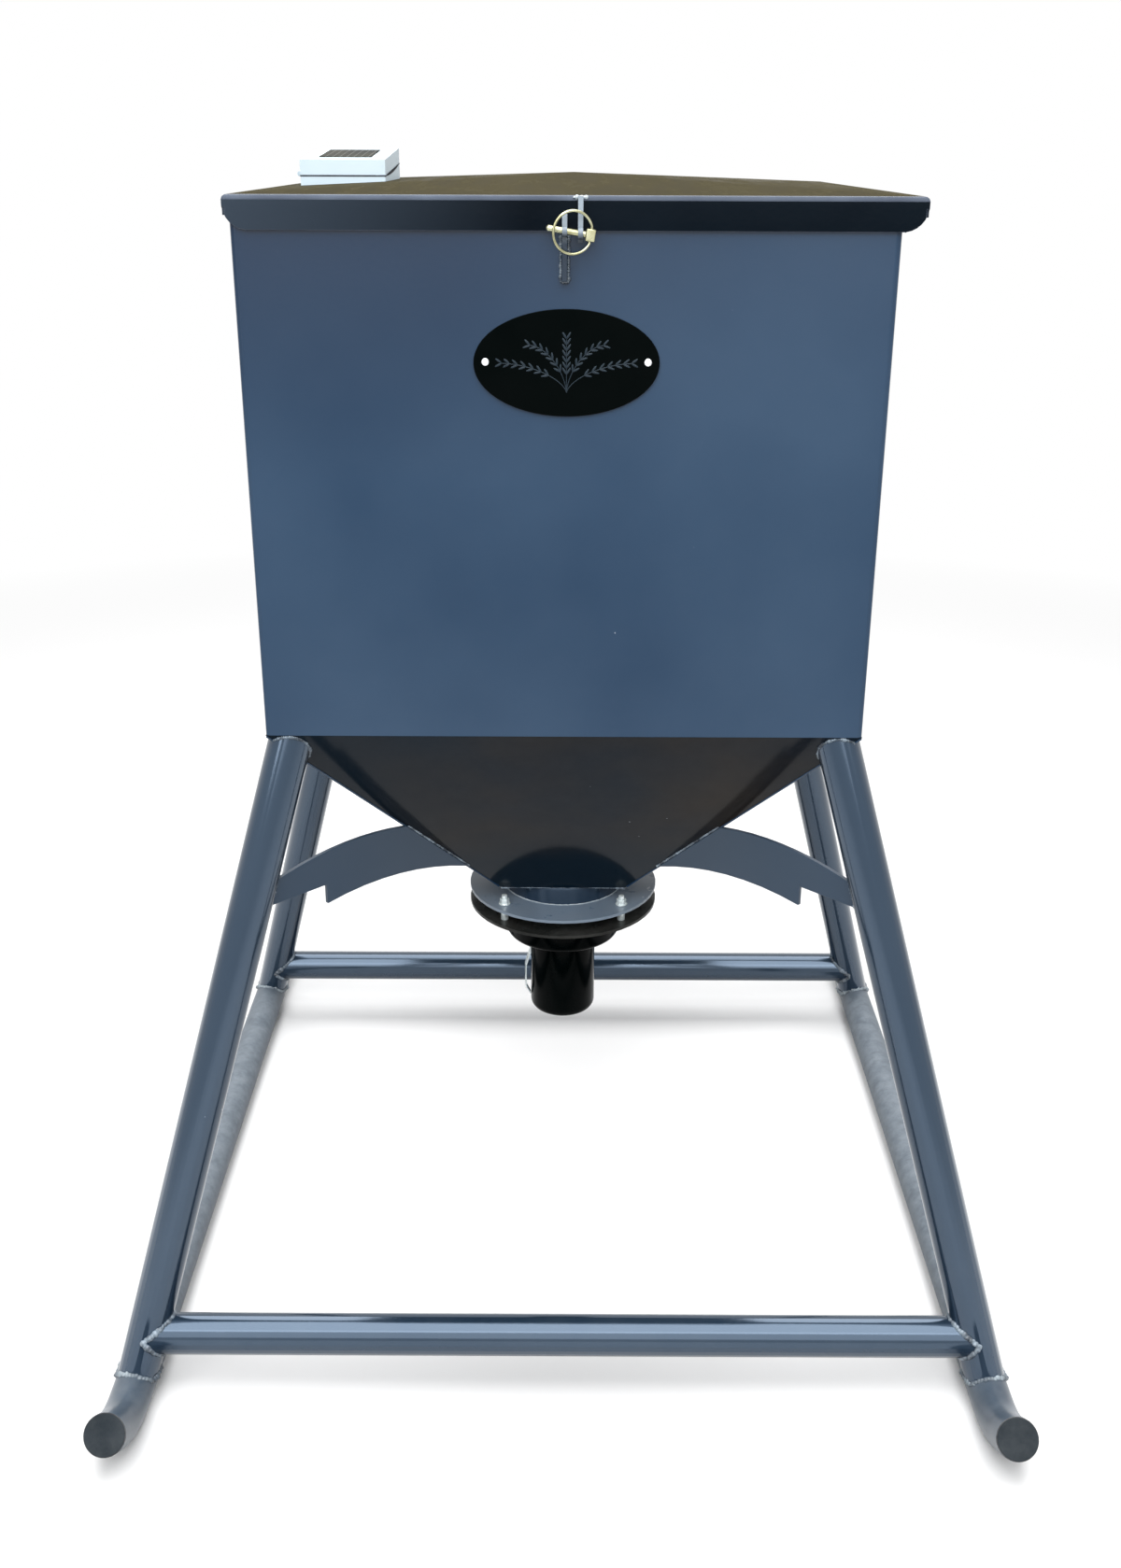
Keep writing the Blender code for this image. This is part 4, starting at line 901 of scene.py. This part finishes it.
def leg_foot_joint(sx, _, foot, along):
    points = []
    for line in leg_lines(foot, along):
        start = line + along * LINE_START
        to_skid = meets_cylinder(start, -along, foot, Vector((0, 1, 0)))
        to_tip = (start.z - EAR_TIP) / along.z
        if (start - along * to_skid).x * sx < 0:
            to_skid = to_tip
        points.append(start - along * min(to_skid, to_tip))
    return points


def rail_joint(sx, _, foot, along):
    share = (RAIL_HEIGHT - foot.z) / along.z
    middle_y = (foot + along * share).y
    points = []
    for angle in turns(JOINT_STEPS):
        start = Vector((0, middle_y + PIPE_RADIUS * cos(angle), RAIL_HEIGHT + PIPE_RADIUS * sin(angle)))
        way = Vector((sx, 0, 0))
        points.append(start + way * meets_cylinder(start, way, foot, along))
    return points


BRACE_HALF = 0.0032
BRACE_STEPS = 11
BRACE_AT_LEG = (0.7515, 0.7990)
BRACE_AT_HIP = (0.6905, 0.7960)


def brace_joints(sx, sy, foot, along):
    """Two fillets at the leg and two along the hopper's corner, one on each side of the plate."""
    out = Vector((sx, sy, 0)).normalized()
    across = Vector((-out.y, out.x, 0))
    paths = []
    for side in (-BRACE_HALF, BRACE_HALF):
        starts = [across * side + Vector((0, 0, z)) for z in stepped(*BRACE_AT_LEG, BRACE_STEPS)]
        paths.append([start + out * meets_cylinder(start, out, foot, along) for start in starts])
        at_hip = []
        for z in stepped(*BRACE_AT_HIP, BRACE_STEPS):
            reach = slope_at(z) * sqrt(2) - abs(side)
            at_hip.append(out * reach + across * side + Vector((0, 0, z)))
        paths.append(at_hip)
    return paths


COLLAR_RADIUS, COLLAR_FOOT = 0.1018, 0.5916
collar = [Vector((COLLAR_RADIUS * cos(a), COLLAR_RADIUS * sin(a), COLLAR_FOOT)) for a in turns(96)]
braces = [path for leg in LEGS for path in brace_joints(*leg)]
beads("leg_top_welds", [leg_top_joint(*leg) for leg in LEGS], 0.0030, WELD_PAINT_AND_GLINTS, seed=3, loop=True)
beads("rail_welds", [rail_joint(*leg) for leg in LEGS], 0.0052, WELD_PAINT_AND_GLINTS, seed=5, loop=True)
beads("skid_welds", [leg_foot_joint(*leg) for leg in LEGS], 0.0052, FRESH_WELD, seed=7, loop=True)
beads("brace_welds", braces, 0.0022, WELD_PAINT_AND_GLINTS, seed=9)
beads("collar_weld", [collar], 0.0013, PALE_WELD, seed=11, loop=True)

# The funnel's square end has a fine fillet all round and a heavier tack at each corner.
OUTLET_FILLET = 0.0006
TACK_STEPS = (0.0, 0.006, 0.012)
edge = OUTLET_HALF - OUTLET_FILLET
square_end = [Vector((sx * edge, sy * edge, OUTLET_HEIGHT)) for sx, sy in ROUND_THE_CORNERS]
tacks = [[co - Vector((co.x, 0, 0)).normalized() * step for step in TACK_STEPS] for co in square_end]
beads("outlet_weld", [square_end], 0.0011, WELD_PAINT_AND_GLINTS, seed=21, loop=True)
beads("outlet_tacks", tacks, 0.0030, WELD_PAINT_AND_GLINTS, seed=23)

# %% [markdown]
# ## Welds of the latch and the hinges
# The latch tabs are thin plates, so their fillets are finer. The tab on the hopper
# has a fillet down each side and under its end. The lid's tab is tacked over the
# edge of the lid, where the paint has not covered the weld.

# %% Latch and hinge welds
HOPPER_TAB_LOW, HOPPER_TAB_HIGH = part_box("hopper_tab")
LID_TAB_LOW, LID_TAB_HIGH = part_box("lid_tab")
TAB_FILLET, TAB_PROUD, TAB_BELOW_LID = 0.0014, 0.0006, 0.004
TACK_LEFT, TACK_RIGHT, TACK_SUNK, TACK_HEIGHT = 0.0075, 0.0068, 0.0010, 1.7095
ARM_START, ARM_END, ARM_THICK = 0.002, 0.042, 0.005
WELD_Y = HALF + 0.001


def straight(start, end, steps=8):
    start, end = Vector(start), Vector(end)
    return [start.lerp(end, share) for share in stepped(0, 1, steps)]


left, right = HOPPER_TAB_LOW.x - TAB_FILLET, HOPPER_TAB_HIGH.x + TAB_FILLET
low, high = HOPPER_TAB_LOW.z - TAB_FILLET / 2, LOW_LID.z - TAB_BELOW_LID
front = -HALF - TAB_PROUD
down = straight((left, front, high), (left, front, low))
under = straight((left, front, low), (right, front, low), 4)
up = straight((right, front, low), (right, front, high))
beads("hopper_tab_weld", [down + under[1:-1] + up], 0.0032, DARK_WELD, seed=13)
tab_x = (LID_TAB_LOW.x + LID_TAB_HIGH.x) / 2
tack_y = LOW_LID.y + TACK_SUNK
tack = straight((tab_x - TACK_LEFT, tack_y, TACK_HEIGHT), (tab_x + TACK_RIGHT, tack_y, TACK_HEIGHT), 4)
beads("lid_tab_tack", [tack], 0.0026, PALE_WELD, "lid", 17)

for side in SIDES:
    low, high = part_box(f"lid_hinge_fixed_{side}")
    start, end = low.x + ARM_START, high.x - ARM_END
    arm = [straight((start, WELD_Y, z), (end, WELD_Y, z)) for z in (low.z, low.z + ARM_THICK)]
    beads(f"hinge_arm_weld_{side}", arm, 0.0018, WELD_PAINT_AND_GLINTS, seed=19)

# %% [markdown]
# ## Seams of the hopper
# Where two sheets meet, a thin ground seam runs down the corner, and another one
# down each sloped corner of the funnel. A swept tube that stands out by half a
# millimetre is enough to catch the light.

# %% Corner seams
SEAM = 0.0016
SEAM_SUNK = 0.35
SEAM_STEPS = 24
OUTLET_MARGIN, RIM_MARGIN = 0.004, 0.002
corner_out = HALF - BEND + BEND * cos(pi / 4) - SEAM * SEAM_SUNK
outlet_out, rim_out = OUTLET_HALF + OUTLET_MARGIN, HALF - RIM_MARGIN
lines = []
for sx, sy in QUARTERS:
    x, y = sx * corner_out, sy * corner_out
    lines.append(straight((x, y, HOPPER_BOTTOM), (x, y, HIGH_WALL.z), SEAM_STEPS))
    low = (sx * outlet_out, sy * outlet_out, OUTLET_HEIGHT + OUTLET_MARGIN * STEEPNESS)
    high = (sx * rim_out, sy * rim_out, HOPPER_BOTTOM - RIM_MARGIN * STEEPNESS)
    lines.append(straight(low, high, SEAM_STEPS))
seams = joined(swept(line, SEAM, 8, False) for line in lines)
smooth(stand("hopper_seams", seams, [HULL_PAINT], "frame"))

# %% [markdown]
# ## Name plate
# A black oval plate is held by two blind rivets. Its face carries a plain farm
# motif, five ears of grain, in low relief. An ear is a stem with pairs of grains,
# so a second tree sets grains along any stem, turned out from it to both sides.
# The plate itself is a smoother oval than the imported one.

# %% Oval plate
LOW_PLATE, HIGH_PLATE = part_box("name_plate")
PLATE_MIDDLE = (LOW_PLATE + HIGH_PLATE) / 2
PLATE_WIDE = Vector((HIGH_PLATE.x - LOW_PLATE.x, 0, 0))
PLATE_TALL = Vector((0, 0, HIGH_PLATE.z - LOW_PLATE.z))
PLATE_STEPS = 144
ovals = []
for y in (LOW_PLATE.y, HIGH_PLATE.y):
    middle = Vector((PLATE_MIDDLE.x, y, PLATE_MIDDLE.z))
    ovals.append(around(middle, PLATE_WIDE, PLATE_TALL, 0.5, PLATE_STEPS))
plate = stand("oval_plate", solid(ovals), [BLACK_GLOSS], "frame", ["name_plate"])
rounded(plate, 0.0005)


# %% Ears of grain
def grain_tree():
    takes = {"Stem": "Geometry", "Grains": 9, "Grain Length": 0.0056, "Spread": 0.5, "Bare": 0.3}
    takes["Finish"] = "Material"
    tree, given, out = new_tree("ears_of_grain", "GeometryNodeTree", takes, "Geometry", "Geometry")
    stem = add(tree, "GeometryNodeMeshToCurve", {"Mesh": given["Stem"]})
    ear = add(tree, "GeometryNodeTrimCurve", {"Curve": stem, "Start": given["Bare"]})
    places = add(tree, "GeometryNodeResampleCurve", {"Curve": ear, "Count": given["Grains"]})
    tangent = add(tree, "GeometryNodeInputTangent")
    ball = add(tree, "GeometryNodeMeshUVSphere", {"Segments": 8, "Rings": 6, "Radius": given["Grain Length"]})
    slim = {"Geometry": ball, "Scale": (0.30, 0.14, 1.0), "Translation": (0.0, 0.0, 0.0050)}
    grain = add(tree, "GeometryNodeTransform", slim)
    parts = []
    for side in (-1, 1):
        turn = add(tree, "FunctionNodeAlignRotationToVector", {"Vector": tangent}, axis="Z", pivot_axis="Y")
        angle = {"Axis": (0.0, 1.0, 0.0), "Angle": times(tree, given["Spread"], side)}
        lean = add(tree, "FunctionNodeAxisAngleToRotation", angle)
        both = {"Rotation": turn, "Rotate By": lean}
        aimed = add(tree, "FunctionNodeRotateRotation", both, rotation_space="LOCAL")
        row = {"Points": places, "Instance": grain, "Rotation": aimed}
        parts.append(add(tree, "GeometryNodeInstanceOnPoints", row))
    profile = add(tree, "GeometryNodeCurvePrimitiveCircle", {"Resolution": 8, "Radius": 0.0006})
    wire = {"Curve": stem, "Profile Curve": profile, "Fill Caps": True}
    parts.append(add(tree, "GeometryNodeCurveToMesh", wire))
    all_parts = tree.nodes.new("GeometryNodeJoinGeometry")
    for part in reversed(parts):
        tree.links.new(part, all_parts.inputs[0])
    return end_tree(tree, out, all_parts.outputs[0], given["Finish"])


STEM_POINTS = 16
STEM_PROUD = 0.0002
TIE_DROP = 0.036


def stem(across, rise):
    """A stem on the plate's face that leaves the tie upwards and bows out to one side."""
    points = []
    for share in stepped(0, 1, STEM_POINTS):
        x = across * share ** 1.5
        z = rise * (1 - (1 - share) ** 1.6) - TIE_DROP
        points.append(Vector((PLATE_MIDDLE.x + x, LOW_PLATE.y - STEM_PROUD, PLATE_MIDDLE.z + z)))
    return points


STEMS = [stem(-0.082, 0.036), stem(-0.046, 0.058), stem(0, 0.066), stem(0.046, 0.058), stem(0.082, 0.036)]
values = {"Grains": 7, "Grain Length": 0.0050, "Spread": 0.55, "Bare": 0.34, "Finish": SIGN_GREY}
ears = grown("ears_of_grain", edge_paths("stems", STEMS), grain_tree(), values)
stand("ears_of_grain", ears, [SIGN_GREY], "frame")
print("ears of grain:", len(ears.polygons), "faces")


# %% Blind rivets
def lathe(profile, place, steps=32):
    """A round solid from (radius, distance) pairs, turned about Y."""
    rings = []
    for radius, reach in profile:
        angles = turns(steps) if radius else [0.0]
        rings.append([place + Vector((radius * cos(a), -reach, radius * sin(a))) for a in angles])
    return solid(rings)


RIVET = [(0.0, 0.0), (0.0047, 0.0), (0.00475, 0.0005), (0.0042, 0.0012), (0.0030, 0.0017)]
RIVET += [(0.0021, 0.0018), (0.0018, 0.0015), (0.0016, 0.0003), (0.0, 0.0004)]
RIVET_PLACES = (-0.1029, 0.1031)
RIVET_RISE, RIVET_SUNK = 0.0015, 0.0002
heads = []
for x in RIVET_PLACES:
    place = Vector((PLATE_MIDDLE.x + x, LOW_PLATE.y + RIVET_SUNK, PLATE_MIDDLE.z + RIVET_RISE))
    heads.append(lathe(RIVET, place))
smooth(stand("plate_rivets", joined(heads), [RIVET_METAL], "frame"))

# %% [markdown]
# ## Frame of the solar panel
# The panel lies in a flat moulded frame on the cover, which is hinged and tilted.
# The frame is a ring with square corners that follows the panel's own tilt.

# %% Panel frame
BOX_TILT = radians(4.1)
LOW_PANEL, HIGH_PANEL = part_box("solar_panel")
PANEL_FRAME = 0.0085
PANEL_GAP = 0.0004
PANEL_RISE = 0.0009
PANEL_BACK = 0.0003
FRAME_DEPTH = 0.0012


def panel_frame():
    lean = tan(BOX_TILT)
    top = LOW_PANEL.z + PANEL_RISE - PANEL_BACK * lean
    rings = []
    for grow, rise in ((0.0, -FRAME_DEPTH), (0.0, 0.0), (PANEL_FRAME, 0.0), (PANEL_FRAME, -FRAME_DEPTH)):
        xs = (LOW_PANEL.x - PANEL_GAP - grow, HIGH_PANEL.x + PANEL_GAP + grow)
        ys = (LOW_PANEL.y - grow, HIGH_PANEL.y + grow)
        flat = [(xs[0], ys[0]), (xs[1], ys[0]), (xs[1], ys[1]), (xs[0], ys[1])]
        rings.append([(x, y, top + rise + (y - LOW_PANEL.y) * lean) for x, y in flat])
    return solid(rings, True)


frame_ring = stand("panel_frame", panel_frame(), [WHITE_PLASTIC], "control_cover")
rounded(frame_ring, 0.0003)

# %% [markdown]
# ## Seam of the control box
# Where the cover closes, a dark strip shows as a thin line all round: painted shade in the seam. On the right
# side a thumb opens the cover through a shallow notch; a dark crescent with a curved lower edge is painted
# shade in it. Both follow the tilted rim of the box.

# %% Painted shade in the seam and the finger notch
STRIP_HEIGHT = 0.0015
STRIP_DEPTH = 0.0020
STRIP_PROUD = 0.0003
NOTCH_LIP = 0.0003
NOTCH_BACK = 0.0004
NOTCH_DEPTH = 0.0042
NOTCH_MARGIN = 0.010
NOTCH_STEPS = 16
UNDER_RIM = 0.0001


def rim_corners():
    """The four upper outer corners of the box's base, in order."""
    points = [vertex.co.copy() for vertex in NODES["control_box_base"].data.vertices]
    return [max(points, key=lambda co: sx * co.x + sy * co.y + 0.3 * co.z) for sx, sy in ROUND_THE_CORNERS]


def seam_shade_mesh():
    corners = rim_corners()
    high, low = -UNDER_RIM, -UNDER_RIM - STRIP_HEIGHT
    rings = []
    for out, z in ((STRIP_PROUD, high), (STRIP_PROUD, low), (-STRIP_DEPTH, low), (-STRIP_DEPTH, high)):
        steps = [Vector((sx * out, sy * out, z)) for sx, sy in ROUND_THE_CORNERS]
        rings.append([co + step for co, step in zip(corners, steps)])
    return solid(rings, True)


def notch_shade_mesh():
    fore, aft = rim_corners()[1:3]
    margin = NOTCH_MARGIN / (aft - fore).length
    layers = []
    for x in (-NOTCH_BACK, STRIP_PROUD):
        top, curve = [], []
        for share in stepped(0, 1, NOTCH_STEPS):
            place = fore.lerp(aft, margin + (1 - 2 * margin) * share) + Vector((x, 0, 0))
            drop = NOTCH_LIP + NOTCH_DEPTH * sin(pi * share) ** 0.6
            top.append(place - Vector((0, 0, UNDER_RIM)))
            curve.append(place - Vector((0, 0, drop)))
        layers.append(top + curve[::-1])
    return solid(layers)


# Dark pieces for painted shade in the seam and the notch.
stand("seam_shade_strip", seam_shade_mesh(), [PAINTED_SHADE], "lid")
stand("finger_notch_shade", notch_shade_mesh(), [PAINTED_SHADE], "lid")

# %% [markdown]
# ## Camera
# The photograph was taken from eye height, a little over two metres from the
# hopper, looking down at it. The camera sits where the pipe sizes and the
# hopper's corners say it stood, with the same field of view.

# %% Camera
EYE = Vector((-0.0022, -2.4579, 1.7683))
FOCUS, TALL, SENSOR = 1682.0921, 1679, 36
PITCH, YAW, ROLL = 0.3863, -0.0011, 0.0037
forward = Vector((sin(YAW) * cos(PITCH), cos(YAW) * cos(PITCH), -sin(PITCH)))
level = Vector((cos(YAW), -sin(YAW), 0))
above = level.cross(forward)
right = level * cos(ROLL) + above * sin(ROLL)
up = above * cos(ROLL) - level * sin(ROLL)
camera = in_scene("camera", bpy.data.cameras.new("camera"))
camera.data.sensor_fit = "VERTICAL"
camera.data.sensor_height = SENSOR
camera.data.lens = SENSOR * FOCUS / TALL
camera.matrix_world = Matrix.Translation(EYE) @ Matrix((right, up, -forward)).transposed().to_4x4()
bpy.context.scene.camera = camera
print("lens:", round(camera.data.lens, 3), "mm")

# %% [markdown]
# ## Studio
# The floor is a wide pale disc. Camera rays and mirror-like rays see it white and
# far from the feeder it fades into the white background, while rays that carry
# light see it darker, so it doesn't flood the underside. Soft lamps above and in
# front give the sheets their sheen and the pipes their long highlights.

# %% Floor and world
FLOOR_RADIUS = 40.0
FADE = (1.6, 5.0)
SKY_LIGHT = 0.27


def seen_directly(tree):
    """1 for rays from the camera, or for rays that a shiny or clear surface sends on."""
    ray = tree.nodes.new("ShaderNodeLightPath").outputs
    shiny = sums(tree, "MAXIMUM", ray["Is Glossy Ray"], ray["Is Transmission Ray"])
    return sums(tree, "MAXIMUM", ray["Is Camera Ray"], shiny)


finish = bpy.data.materials.new("studio_floor")
finish.use_nodes = True
tree = finish.node_tree
tree.nodes.clear()
direct = seen_directly(tree)
tone = mixed(tree, direct, (0.16, 0.16, 0.16, 1), (0.90, 0.90, 0.90, 1))
matt = add(tree, "ShaderNodeBsdfDiffuse", {"Color": tone})
white = add(tree, "ShaderNodeEmission", {"Color": (*WHITE, 1), "Strength": 1.0})
away = add(tree, "ShaderNodeVectorMath", {0: where(tree)}, "Value", operation="LENGTH")
fade = times(tree, spread(tree, away, *FADE), direct)
both = add(tree, "ShaderNodeMixShader", {0: fade, 1: matt, 2: white})
tree.links.new(both, tree.nodes.new("ShaderNodeOutputMaterial").inputs["Surface"])
disc = bmesh.new()
bmesh.ops.create_circle(disc, cap_ends=True, segments=96, radius=FLOOR_RADIUS)
floor = mesh_of("studio_floor", disc)
floor.materials.append(finish)
in_scene("studio_floor", floor)

world = bpy.data.worlds.new("studio")
bpy.context.scene.world = world
world.use_nodes = True
tree = world.node_tree
strength = spread(tree, seen_directly(tree), 0.0, 1.0, SKY_LIGHT, 1.0)
back = tree.nodes["Background"].inputs
back["Color"].default_value = (*WHITE, 1)
tree.links.new(strength, back["Strength"])


# %% Lamps
def soft_lamp(name, place, aim, size, watts):
    data = bpy.data.lights.new(name, "AREA")
    data.shape = "RECTANGLE"
    data.size, data.size_y = size
    data.energy = watts
    lamp = in_scene(name, data)
    lamp.location = place
    lamp.rotation_euler = (Vector(aim) - Vector(place)).to_track_quat("-Z", "Y").to_euler()


soft_lamp("overhead", (0.0, -1.9, 4.3), (0, -0.5, 0.6), (4.0, 5.0), 285)
soft_lamp("sky", (0.0, -6.0, 3.4), (0, 0, 0.7), (6.0, 4.4), 150)
soft_lamp("front_left", (-2.8, -3.4, 3.0), (0, 0, 1.1), (0.9, 3.2), 44)
soft_lamp("front_right", (3.0, -3.0, 2.8), (0, 0, 1.1), (0.8, 2.6), 6)
soft_lamp("behind", (0.0, 2.3, 4.2), (0, 0.6, 0.4), (4.0, 2.8), 150)
bpy.context.scene.view_settings.view_transform = "Standard"
